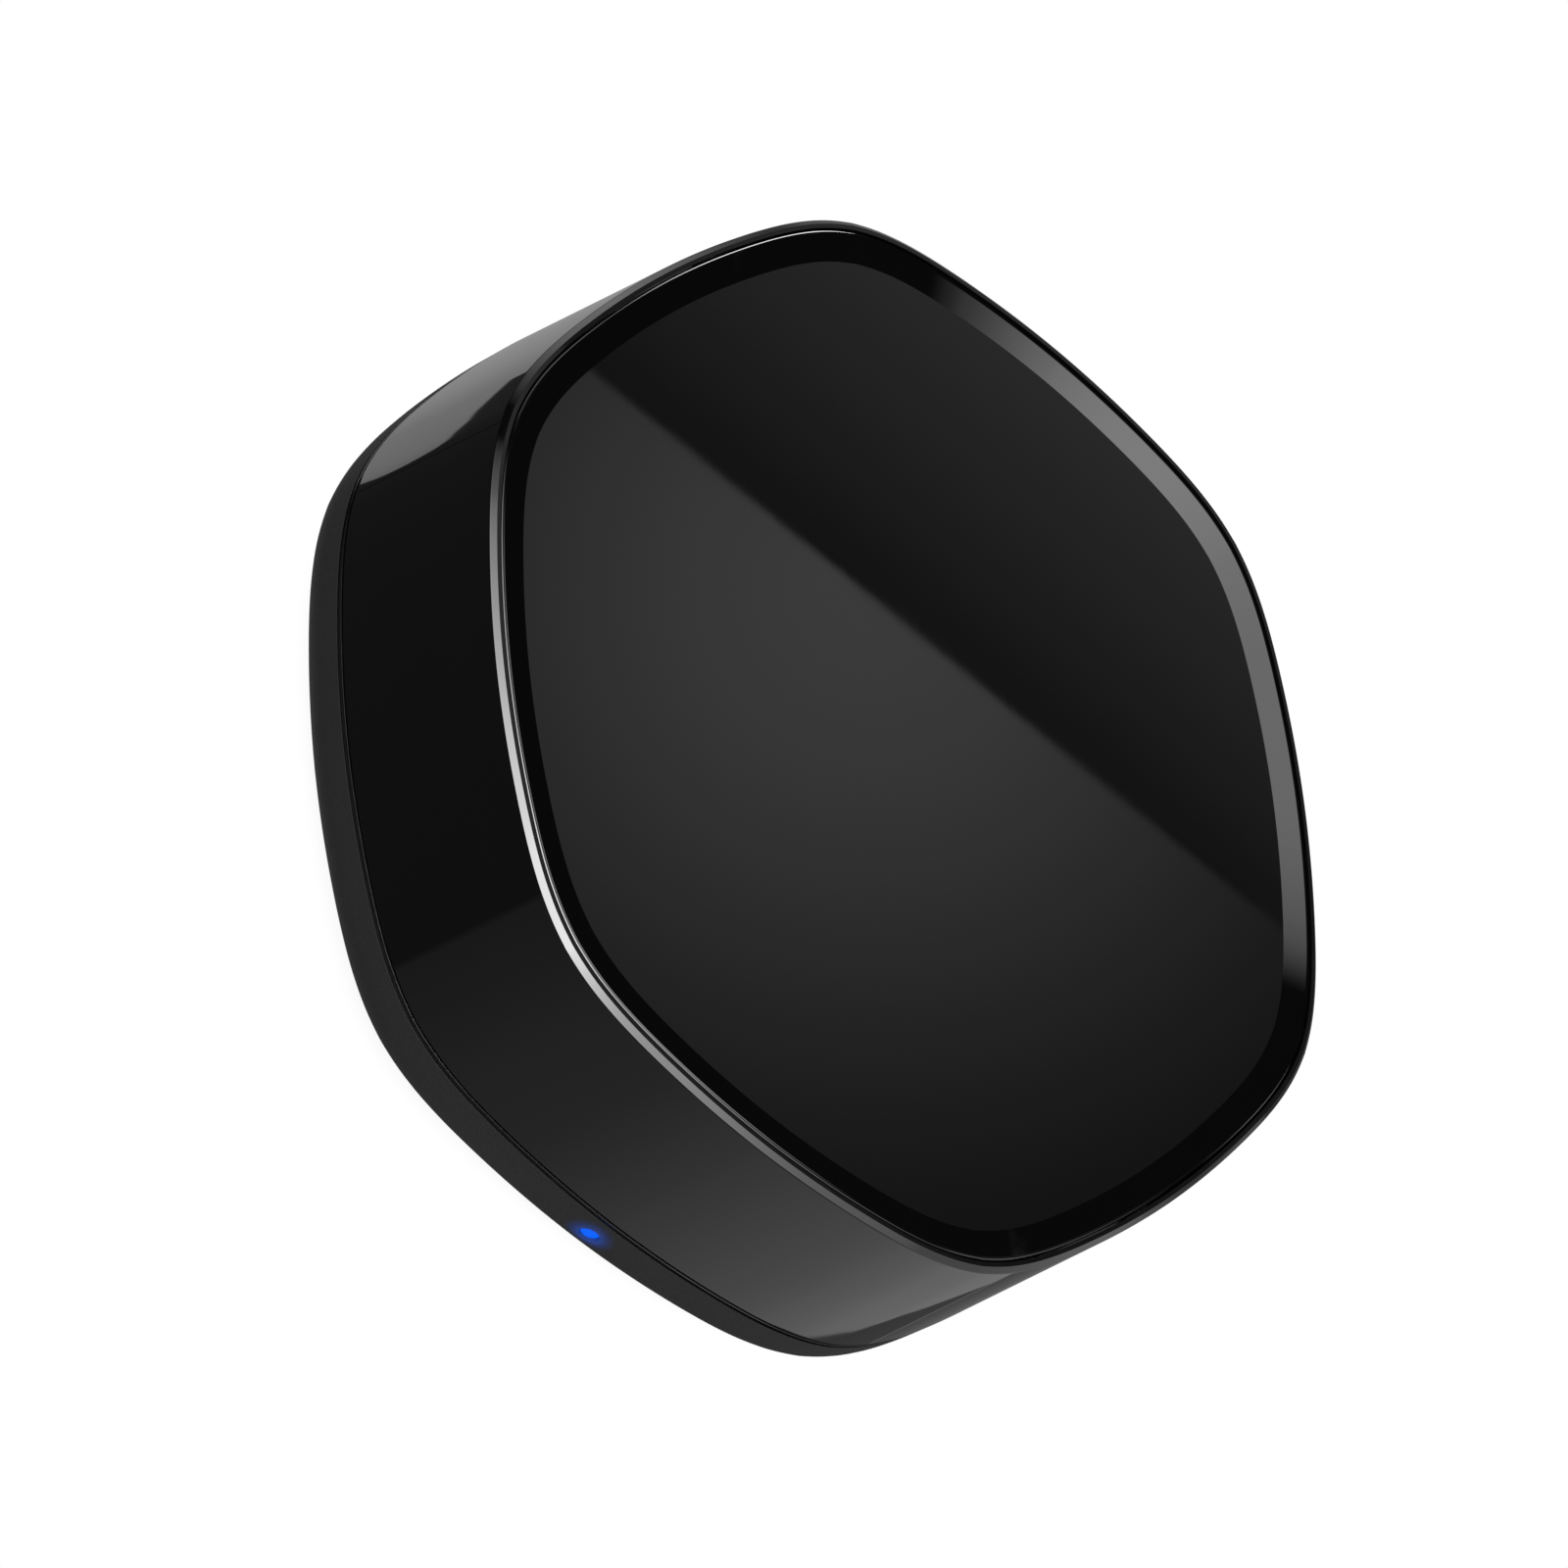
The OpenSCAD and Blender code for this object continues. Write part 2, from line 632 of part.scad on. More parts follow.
module bulk_capacitor() color([0.75, 0.76, 0.78])
    translate([capacitor_centre.x, capacitor_centre.y, board_top_z + 0.9]) rotate_extrude()
        polygon([[0, 0], [3.15, 0], [3.15, 0.9], [2.95, 1.15], [3.15, 1.4], [3.15, 6.4],
            [2.85, 6.7], [0, 6.7]]);

inductor_centre = [half_flats - 15, -10];
module inductor_core() color([0.2, 0.2, 0.21]) {
    block(inductor_centre, [6, 6, 0.7], board_top_z);
    block(inductor_centre, [6, 6, 0.7], board_top_z + 2.5);
    translate([inductor_centre.x, inductor_centre.y, board_top_z + 0.7]) cylinder(h = 1.8, d = 2.6);
}

module power_inductor() color([0.72, 0.42, 0.2])
    translate([inductor_centre.x, inductor_centre.y, board_top_z + 0.75]) difference() {
        cylinder(h = 1.7, d = 5.4);
        translate([0, 0, -e]) cylinder(h = 1.7 + 2 * e, d = 2.7);
    }

module clock_crystal() color([0.8, 0.8, 0.82])
    block([-8.6, -half_flats + 16.5], [3.2, 2.5, 0.9], board_top_z);

transistor_places = [[8, -half_flats + 11], [12.5, -half_flats + 11], [3, half_flats - 18]];
module driver_transistors() color([0.06, 0.06, 0.06])
    for (p = transistor_places) block(p, [2.9, 1.5, 1.1], board_top_z);

capacitor_places = [[-6, half_flats - 11.5], [6.2, half_flats - 11.5], [-6, -half_flats + 9],
    [-6, -half_flats + 6.8], [16, -3.5], [16, 3], [0, half_flats - 13]];
module ceramic_capacitors() color([0.62, 0.5, 0.36])
    for (p = capacitor_places) block(p, [1.6, 0.8, 0.8], board_top_z);

resistor_places = [[6.5, -half_flats + 8.2], [9.5, -half_flats + 8.2], [12.5, -half_flats + 8.2],
    [4, -half_flats + 6.5], [-4, -half_flats + 6.5], [8, half_flats - 17], [-14, half_flats - 16]];
module chip_resistors() color([0.1, 0.1, 0.12])
    for (p = resistor_places) block(p, [1.6, 0.8, 0.5], board_top_z);

top_panel();
panel_tape();
side_shell();
base_tray();
foot_ring();
rating_label();
base_screws();
main_board();
usb_shell();
usb_tongue();
usb_contacts();
reset_button();
switch_plunger();
switch_body();
switch_cover();
status_led();
light_pipe();
emitter_holder();
side_emitters();
side_emitter_leads();
top_emitter();
top_emitter_leads();
ir_receiver();
receiver_leads();
radio_board();
radio_shield();
radio_antenna();
voltage_regulator();
regulator_pins();
bulk_capacitor();
capacitor_base();
power_inductor();
inductor_core();
clock_crystal();
driver_transistors();
ceramic_capacitors();
chip_resistors();
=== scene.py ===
# %% [markdown]
# # A smart-home infrared hub
#
# The object is a small rounded-hexagon puck. A glossy black panel and a glossy side
# shell sit on a matt base, which stands on a rubber ring. Infrared emitters inside
# shine out through the glossy plastic, a micro-B inlet at the back powers it, and a
# tiny blue light at the front says that it is awake.
#
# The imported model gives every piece's true place. This script loads it, keeps it
# still, and builds a better-looking piece over each part that can be seen.

# %% Load the frame
import json
from math import cos, pi, radians, sin, tan

import bmesh
import bpy
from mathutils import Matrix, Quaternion, Vector


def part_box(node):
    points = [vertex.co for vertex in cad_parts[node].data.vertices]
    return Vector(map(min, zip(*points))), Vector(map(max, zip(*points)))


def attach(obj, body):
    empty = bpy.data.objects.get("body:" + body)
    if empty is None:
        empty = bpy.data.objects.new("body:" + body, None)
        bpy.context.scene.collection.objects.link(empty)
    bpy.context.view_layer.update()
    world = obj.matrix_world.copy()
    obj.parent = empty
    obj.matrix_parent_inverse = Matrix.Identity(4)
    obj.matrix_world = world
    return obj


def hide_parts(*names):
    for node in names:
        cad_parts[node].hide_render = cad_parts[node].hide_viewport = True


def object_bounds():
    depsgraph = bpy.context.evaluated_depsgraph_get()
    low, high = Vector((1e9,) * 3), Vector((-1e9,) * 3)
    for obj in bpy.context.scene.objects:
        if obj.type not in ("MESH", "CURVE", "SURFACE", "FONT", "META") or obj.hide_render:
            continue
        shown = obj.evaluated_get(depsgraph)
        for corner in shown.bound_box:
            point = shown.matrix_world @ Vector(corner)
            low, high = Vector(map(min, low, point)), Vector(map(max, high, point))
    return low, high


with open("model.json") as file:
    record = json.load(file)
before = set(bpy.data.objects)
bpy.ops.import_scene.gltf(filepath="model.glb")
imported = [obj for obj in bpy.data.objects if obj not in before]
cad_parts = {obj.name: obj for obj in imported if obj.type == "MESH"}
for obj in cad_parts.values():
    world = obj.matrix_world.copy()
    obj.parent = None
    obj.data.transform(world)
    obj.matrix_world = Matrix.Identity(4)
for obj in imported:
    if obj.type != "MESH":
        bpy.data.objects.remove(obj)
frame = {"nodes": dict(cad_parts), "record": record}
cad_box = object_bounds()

MM = 0.001
print("size in mm:", [round((high - low) / MM, 2) for low, high in zip(*cad_box)])

# %% [markdown]
# ## Camera
#
# The product is shown from above and rolled far over to its left, through a long lens
# that keeps the hexagon's opposite sides almost parallel. A camera is easiest to check
# when it is written as a person would set it up: where it aims, how far back it stands,
# its two angles, and its roll about its own line of sight.

# %% Place the camera
aim = Vector((-1.69, -0.68, 10.75)) * MM
distance = 567 * MM
turn, rise, roll = radians(-33.2), radians(45.16), radians(63.57)

camera = bpy.data.objects.new("camera", bpy.data.cameras.new("camera"))
bpy.context.collection.objects.link(camera)
bpy.context.scene.camera = camera
camera.data.lens = 211.15
camera.data.sensor_width = 36
camera.data.clip_start = 0.01
back = Vector((sin(turn) * cos(rise), -cos(turn) * cos(rise), sin(rise)))
camera.location = aim + distance * back
camera.rotation_mode = "QUATERNION"
camera.rotation_quaternion = (-back).to_track_quat("-Z", "Y") @ Quaternion((0, 0, 1), roll)
print("camera at", [round(value, 4) for value in camera.location])

# %% [markdown]
# ## Working by hand
#
# Everything below is modelled with the same operators that a person would use in the
# viewport. Three small helpers keep that safe: one clears the selection, one enters
# edit mode on a piece, and one picks vertices, edges or faces by a test on their place.

# %% Helpers for edit mode
def deselect():
    """Leaves edit mode and deselects every object."""
    if bpy.context.object and bpy.context.object.mode != "OBJECT":
        bpy.ops.object.mode_set(mode="OBJECT")
    bpy.ops.object.select_all(action="DESELECT")


def select_only(piece):
    deselect()
    piece.select_set(True)
    bpy.context.view_layer.objects.active = piece


def edit(piece):
    select_only(piece)
    bpy.ops.object.mode_set(mode="EDIT")


def pick(piece, kind, test):
    """In edit mode, selects only the verts, edges or faces whose centre passes the test."""
    bpy.ops.mesh.select_mode(type={"verts": "VERT", "edges": "EDGE", "faces": "FACE"}[kind])
    bpy.ops.mesh.select_all(action="DESELECT")
    mesh = bmesh.from_edit_mesh(piece.data)
    count = 0
    for item in getattr(mesh, kind):
        corners = [item] if kind == "verts" else item.verts
        centre = sum((corner.co for corner in corners), Vector()) / len(corners)
        if test(centre, item):
            item.select_set(True)
            count += 1
    mesh.select_flush_mode()
    bmesh.update_edit_mesh(piece.data)
    return count


def apply_all(piece):
    """Applies every modifier of a piece, from the first to the last."""
    select_only(piece)
    for modifier in list(piece.modifiers):
        bpy.ops.object.modifier_apply(modifier=modifier.name)


def place_in_mesh(piece):
    """Puts a piece's place, turn and size into its mesh, so its object is at the origin."""
    select_only(piece)
    bpy.ops.object.transform_apply(location=True, rotation=True, scale=True)


def copy_of(piece, name, shift=(0, 0, 0), turned=0):
    """A copy with its own mesh, turned about the upright axis and then shifted."""
    select_only(piece)
    bpy.ops.object.duplicate(linked=False)
    copy = bpy.context.object
    copy.name = name
    copy.rotation_euler = (0, 0, turned)
    copy.location = shift
    place_in_mesh(copy)
    return copy


def join(pieces, name):
    """Joins pieces into the first one."""
    deselect()
    for piece in pieces:
        piece.select_set(True)
    bpy.context.view_layer.objects.active = pieces[0]
    if len(pieces) > 1:
        bpy.ops.object.join()
    pieces[0].name = name
    return pieces[0]


def cut(piece, tool, operation="DIFFERENCE"):
    """Cuts a tool out of a piece, or adds it, and removes the tool."""
    select_only(piece)
    modifier = piece.modifiers.new("cut", "BOOLEAN")
    modifier.operation = operation
    modifier.solver = "EXACT"
    modifier.object = tool
    bpy.ops.object.modifier_apply(modifier=modifier.name)
    bpy.data.objects.remove(tool, do_unlink=True)


# %% [markdown]
# ## Procedural finishes
#
# Three effects return in many of the finishes, so each is a node group with its own
# sliders. Grain is the fine texture that a moulding tool leaves. Wear is the slight
# polish that handling puts on edges, found from how sharply the surface is bent. Smudge
# is a slow change of gloss over a surface, which keeps it from looking computed.

# %% Helpers for node trees
def add(tree, kind, wires=None, **settings):
    """Adds a node. Wires gives each input a value, or another node's output to read."""
    node = tree.nodes.new("ShaderNode" + kind)
    for name, value in settings.items():
        setattr(node, name, value)
    for name, value in (wires or {}).items():
        if isinstance(value, bpy.types.NodeSocket):
            tree.links.new(value, node.inputs[name])
        else:
            node.inputs[name].default_value = value
    return node


def make_group(name, inputs, outputs):
    """An empty shader group with float inputs, given as name: value, and float outputs."""
    tree = bpy.data.node_groups.new(name, "ShaderNodeTree")
    for key, value in inputs.items():
        socket = tree.interface.new_socket(key, in_out="INPUT", socket_type="NodeSocketFloat")
        socket.default_value = value
    for key in outputs:
        tree.interface.new_socket(key, in_out="OUTPUT", socket_type="NodeSocketFloat")
    return tree, tree.nodes.new("NodeGroupInput"), tree.nodes.new("NodeGroupOutput")


def span(tree, value, low, high, new_low, new_high):
    """Maps a value from one range to another and holds it inside."""
    return add(tree, "MapRange", {"Value": value, "From Min": low, "From Max": high,
                                  "To Min": new_low, "To Max": new_high}).outputs["Result"]


# %% Build the three shared effects
def build_grain():
    tree, given, made = make_group("moulded_grain", {"Scale": 6000, "Amount": 1}, ["Height"])
    place = add(tree, "TexCoord").outputs["Object"]
    fine = add(tree, "TexNoise", {"Vector": place, "Scale": given.outputs["Scale"],
                                  "Detail": 3, "Roughness": 0.6}).outputs["Fac"]
    cells = add(tree, "TexVoronoi", {"Vector": place, "Scale": given.outputs["Scale"]}).outputs["Distance"]
    pits = span(tree, cells, 0, 0.6, 0, 0.5)
    both = add(tree, "Math", {0: fine, 1: pits}, operation="ADD").outputs[0]
    height = add(tree, "Math", {0: both, 1: given.outputs["Amount"]}, operation="MULTIPLY")
    tree.links.new(height.outputs[0], made.inputs["Height"])
    return tree


def build_wear():
    tree, given, made = make_group("edge_wear", {"Start": 0.52, "Full": 0.62}, ["Mask"])
    place = add(tree, "TexCoord").outputs["Object"]
    bend = add(tree, "NewGeometry").outputs["Pointiness"]
    patchy = add(tree, "TexNoise", {"Vector": place, "Scale": 900, "Detail": 4}).outputs["Fac"]
    edge = add(tree, "MapRange", {"Value": bend, "From Min": given.outputs["Start"],
                                  "From Max": given.outputs["Full"]}).outputs["Result"]
    mask = add(tree, "Math", {0: edge, 1: span(tree, patchy, 0.35, 0.65, 0.2, 1)}, operation="MULTIPLY")
    tree.links.new(mask.outputs[0], made.inputs["Mask"])
    return tree


def build_smudge():
    tree, given, made = make_group("smudge", {"Scale": 60, "Low": 0.03, "High": 0.06}, ["Value"])
    place = add(tree, "TexCoord").outputs["Object"]
    slow = add(tree, "TexNoise", {"Vector": place, "Scale": given.outputs["Scale"], "Detail": 5,
                                  "Distortion": 0.6}).outputs["Fac"]
    value = add(tree, "MapRange", {"Value": slow, "From Min": 0.3, "From Max": 0.7,
                                   "To Min": given.outputs["Low"], "To Max": given.outputs["High"]})
    tree.links.new(value.outputs["Result"], made.inputs["Value"])
    return tree


GRAIN, WEAR, SMUDGE = build_grain(), build_wear(), build_smudge()
print("shared effects:", [tree.name for tree in (GRAIN, WEAR, SMUDGE)])


# %% One recipe for most finishes
def use(tree, group, **values):
    node = add(tree, "Group", node_tree=group)
    for name, value in values.items():
        node.inputs[name].default_value = value
    return node.outputs[0]


def blend(tree, share_of_second, first, second):
    """Mixes two colours by a mask. Sockets 0, 6 and 7 are a colour mix's factor, A and B."""
    mix = add(tree, "Mix", {0: share_of_second, 6: first, 7: second}, data_type="RGBA")
    return mix.outputs[2]


def finish_for(name, color, worn, gloss=(0.3, 0.5), grain=6000, depth=0.02, wear=(0.52, 0.62),
               smudge=60, cloud=240, mottle=0.12, **shader_values):
    """A finish with mottled colour, worn edges, uneven gloss and a grain of some depth in mm."""
    material = bpy.data.materials.new(name)
    material.use_nodes = True
    tree = material.node_tree
    shader = tree.nodes["Principled BSDF"]
    place = add(tree, "TexCoord").outputs["Object"]
    clouds = add(tree, "TexNoise", {"Vector": place, "Scale": cloud, "Detail": 4}).outputs["Fac"]
    dark = [channel * (1 - mottle) for channel in color] + [1]
    light = [min(1, channel * (1 + mottle)) for channel in color] + [1]
    tint = blend(tree, clouds, dark, light)
    edge = use(tree, WEAR, Start=wear[0], Full=wear[1])
    tree.links.new(blend(tree, edge, tint, [*worn, 1]), shader.inputs["Base Color"])
    rough = use(tree, SMUDGE, Scale=smudge, Low=gloss[0], High=gloss[1])
    tree.links.new(rough, shader.inputs["Roughness"])
    bump = add(tree, "Bump", {"Strength": 1, "Distance": depth * MM})
    tree.links.new(use(tree, GRAIN, Scale=grain), bump.inputs["Height"])
    tree.links.new(bump.outputs["Normal"], shader.inputs["Normal"])
    for key, value in shader_values.items():
        shader.inputs[key.replace("_", " ")].default_value = value
    return material


# %% [markdown]
# ## The body's outline
#
# Six soft corners and six almost flat sides: the outline is one smooth closed curve. A
# circle with 24 vertices is drawn, every fourth one is pulled out to make a corner and
# the ones between are set a little back, and a Subdivision Surface turns that cage into
# a smooth curve. Modelling only the outline as a smooth curve, and pulling it up through
# the heights afterwards, keeps each upright wall true and each edge as crisp as it is.

# %% Draw the outline
half_flats = cad_box[1].y
half_corners = cad_box[1].x
shoulder = half_flats + 0.75 * MM
CAGE_POINTS, SMOOTHING = 24, 4
OUTLINE_POINTS = CAGE_POINTS * 2 ** SMOOTHING
cage_step = 2 * pi / CAGE_POINTS
cage_corner = (6 * half_corners - 2 * shoulder * cos(cage_step)) / 4
cage_flat = (6 * half_flats - 2 * shoulder * cos(cage_step)) / 4


def cage_index(point):
    """Which of the cage's vertices lies in this direction, counted from +X."""
    from_x = Vector((1, 0)).angle_signed(Vector((point.x, -point.y)), 0)
    return round(from_x / cage_step) % CAGE_POINTS


def draw_outline(name):
    deselect()
    bpy.ops.mesh.primitive_circle_add(vertices=CAGE_POINTS, radius=cage_flat, fill_type="NGON")
    piece = bpy.context.object
    piece.name = name
    edit(piece)
    pick(piece, "verts", lambda at, item: cage_index(at) % 4 == 0)
    bpy.ops.transform.resize(value=(cage_corner / cage_flat,) * 3, center_override=(0, 0, 0))
    pick(piece, "verts", lambda at, item: cage_index(at) % 2 == 1)
    bpy.ops.transform.resize(value=(shoulder / cage_flat,) * 3, center_override=(0, 0, 0))
    deselect()
    smooth = piece.modifiers.new("smooth", "SUBSURF")
    smooth.levels = smooth.render_levels = SMOOTHING
    apply_all(piece)
    edit(piece)
    bpy.ops.mesh.select_mode(type="VERT")
    bpy.ops.mesh.select_all(action="DESELECT")
    bpy.ops.mesh.select_non_manifold(extend=False)
    bpy.ops.mesh.select_all(action="INVERT")
    bpy.ops.mesh.delete(type="VERT")
    reach = max(corner.co.x for corner in bmesh.from_edit_mesh(piece.data).verts)
    bpy.ops.mesh.select_all(action="SELECT")
    bpy.ops.transform.resize(value=(half_corners / reach,) * 3, center_override=(0, 0, 0))
    deselect()
    return piece


test_outline = draw_outline("test_outline")
outline_points = [vertex.co for vertex in test_outline.data.vertices]
print("outline points:", len(outline_points), "corner", max(point.x for point in outline_points) / MM,
      "flat", max(point.y for point in outline_points) / MM)
bpy.data.objects.remove(test_outline)


# %% Extrude through heights
def share(inset):
    """Scale of the outline that moves its flat sides inwards by an inset in mm."""
    return 1 - inset * MM / half_flats


def extrude_through(profile, scale_at, closed=False):
    """In edit mode, extrudes the selection through (width, height) points in millimetres."""
    extrude = bpy.ops.mesh.extrude_edges_move if closed else bpy.ops.mesh.extrude_region_move
    for (width, z), (next_width, next_z) in zip(profile, profile[1:] + profile[:closed]):
        extrude(TRANSFORM_OT_translate={"value": (0, 0, (next_z - z) * MM)})
        ratio = scale_at(next_width) / scale_at(width)
        bpy.ops.transform.resize(value=(ratio, ratio, 1), center_override=(0, 0, 0))
    bpy.ops.mesh.select_all(action="SELECT")
    bpy.ops.mesh.remove_doubles(threshold=0.001 * MM)
    bpy.ops.mesh.normals_make_consistent(inside=False)
    deselect()


def pull(name, profile, closed=False):
    """A solid with the body's outline, from a profile of (inset, height) points. A closed
    profile makes a ring, and an open one ends in a flat face at each end."""
    piece = draw_outline(name)
    edit(piece)
    bpy.ops.mesh.select_all(action="SELECT")
    start = share(profile[0][0])
    bpy.ops.transform.resize(value=(start, start, 1), center_override=(0, 0, 0))
    bpy.ops.transform.translate(value=(0, 0, profile[0][1] * MM))
    if not closed:
        bpy.ops.mesh.edge_face_add()
    extrude_through(profile, share, closed)
    return piece


def turned(name, profile, place=(0, 0, 0), tilt=(0, 0, 0), sides=48):
    """A round solid from a profile of (radius, height) points, tilted and moved into place."""
    deselect()
    bpy.ops.mesh.primitive_circle_add(vertices=sides, radius=profile[0][0] * MM, fill_type="NGON",
                                      location=(0, 0, profile[0][1] * MM))
    piece = bpy.context.object
    piece.name = name
    place_in_mesh(piece)
    edit(piece)
    bpy.ops.mesh.select_all(action="SELECT")
    extrude_through(profile, lambda radius: radius)
    piece.rotation_euler = [radians(angle) for angle in tilt]
    piece.location = [value * MM for value in place]
    place_in_mesh(piece)
    return piece


# %% [markdown]
# ## Rounded corners in a profile
#
# No moulded edge is perfectly sharp. Each corner of a profile is given a radius, and a
# helper replaces it with a short arc. It also adds one more ring just beside each arc.
# That ring holds the shading of the long wall next to it, which would otherwise bend.

# %% Round the corners of a profile
FINE_STEPS, LARGE_STEPS = 6, 18


def rounded(corners, closed=False, hold=0.1):
    """Profile points from (width, height, radius) corners. Radius 0 leaves a corner sharp."""
    points = []
    for index, (width, z, radius) in enumerate(corners):
        ends = not closed and index in (0, len(corners) - 1)
        if not radius or ends:
            points.append((width, z))
            continue
        at = Vector((width, z))
        before = Vector(corners[index - 1][:2]) - at
        after = Vector(corners[(index + 1) % len(corners)][:2]) - at
        back, on = before.normalized(), after.normalized()
        half = back.angle(on) / 2
        centre = at + (back + on).normalized() * radius / sin(half)
        run = radius / tan(half)
        first = at + back * run - centre
        way = 1 if first.cross(at + on * run - centre) > 0 else -1
        steps = LARGE_STEPS if radius > 1 else FINE_STEPS
        if run + hold < before.length / 2:
            points.append(tuple(at + back * (run + hold)))
        for step in range(steps + 1):
            angle = way * (pi - 2 * half) * step / steps
            points.append((centre.x + first.x * cos(angle) - first.y * sin(angle),
                           centre.y + first.x * sin(angle) + first.y * cos(angle)))
        if run + hold < after.length / 2:
            points.append(tuple(at + on * (run + hold)))
    return points


print("a rounded square corner:", [tuple(round(v, 2) for v in p)
                                   for p in rounded([(0, 1, 0), (0, 0, 0.3), (1, 0, 0)])])


# %% Hand over a finished piece
def deliver(piece, slot, *nodes, body="housing", smooth=12):
    """Gives a finished piece its shading, finish, body and slot, and hides what it replaces."""
    select_only(piece)
    bpy.ops.object.shade_smooth_by_angle(angle=radians(smooth))
    piece.data.materials.clear()
    piece.data.materials.append(FINISH[slot])
    deselect()
    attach(piece, body)
    if nodes:
        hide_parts(*nodes)
    print(piece.name, "faces:", len(piece.data.polygons))
    return piece


# %% [markdown]
# ## The finishes
#
# The record names one material for each kind of part. Each gets its own values in the
# shared recipe: a polished black for the shells, a fine matt texture for the base, rubber
# for the foot, and the metals, laminates and resins of the parts inside. The polished
# black has almost no colour of its own. What one sees on it is the room, so its gloss is
# very even, with only a slow ripple that a real moulding has.

# %% Finishes of the casing
piano_black, piano_worn = (0.0006, 0.0006, 0.0007), (0.002, 0.002, 0.002)
FINISH = {
    "panel_black": finish_for("panel_black", piano_black, piano_worn, gloss=(0.01, 0.018),
                              grain=300, depth=0.0001, IOR=1.5),
    "shell_black": finish_for("shell_black", piano_black, piano_worn, gloss=(0.012, 0.024),
                              grain=300, depth=0.0002, IOR=1.5),
    "base_black": finish_for("base_black", (0.006, 0.006, 0.0061), (0.01, 0.01, 0.01), gloss=(0.5, 0.62),
                             grain=5200, depth=0.03, cloud=7000, mottle=0.35, Specular_IOR_Level=0.1),
    "foot_rubber": finish_for("foot_rubber", (0.02, 0.02, 0.02), (0.035, 0.035, 0.034), gloss=(0.7, 0.85),
                              grain=7000, depth=0.02, Specular_IOR_Level=0.3),
    "label_grey": finish_for("label_grey", (0.42, 0.42, 0.43), (0.5, 0.5, 0.5), gloss=(0.35, 0.5),
                             grain=3000, depth=0.003, mottle=0.03),
    "tape_black": finish_for("tape_black", (0.03, 0.03, 0.03), (0.05, 0.05, 0.05), gloss=(0.8, 0.9),
                             grain=2500, depth=0.04),
    "button_black": finish_for("button_black", (0.014, 0.014, 0.014), (0.04, 0.04, 0.04), gloss=(0.3, 0.42),
                               grain=7000, depth=0.01),
}

# %% Finishes of metals and contacts
FINISH |= {
    "zinc_steel": finish_for("zinc_steel", (0.55, 0.55, 0.57), (0.75, 0.75, 0.76), gloss=(0.22, 0.38),
                             grain=4000, depth=0.004, Metallic=1),
    "inlet_steel": finish_for("inlet_steel", (0.62, 0.61, 0.58), (0.8, 0.79, 0.77), gloss=(0.18, 0.32),
                              grain=5000, depth=0.003, Metallic=1),
    "contact_gold": finish_for("contact_gold", (0.85, 0.6, 0.22), (0.95, 0.78, 0.4), gloss=(0.15, 0.28),
                               grain=6000, depth=0.002, Metallic=1),
    "tinned_wire": finish_for("tinned_wire", (0.68, 0.68, 0.7), (0.85, 0.85, 0.86), gloss=(0.2, 0.4),
                              grain=4000, depth=0.004, Metallic=1),
    "antenna_copper": finish_for("antenna_copper", (0.75, 0.5, 0.2), (0.9, 0.7, 0.4), gloss=(0.25, 0.4),
                                 grain=5000, depth=0.003, Metallic=1),
    "can_aluminium": finish_for("can_aluminium", (0.7, 0.71, 0.73), (0.85, 0.85, 0.86), gloss=(0.25, 0.4),
                                grain=3000, depth=0.004, Metallic=1),
    "winding_copper": finish_for("winding_copper", (0.48, 0.17, 0.06), (0.75, 0.4, 0.2), gloss=(0.2, 0.35),
                                 grain=2500, depth=0.01, Metallic=1),
}

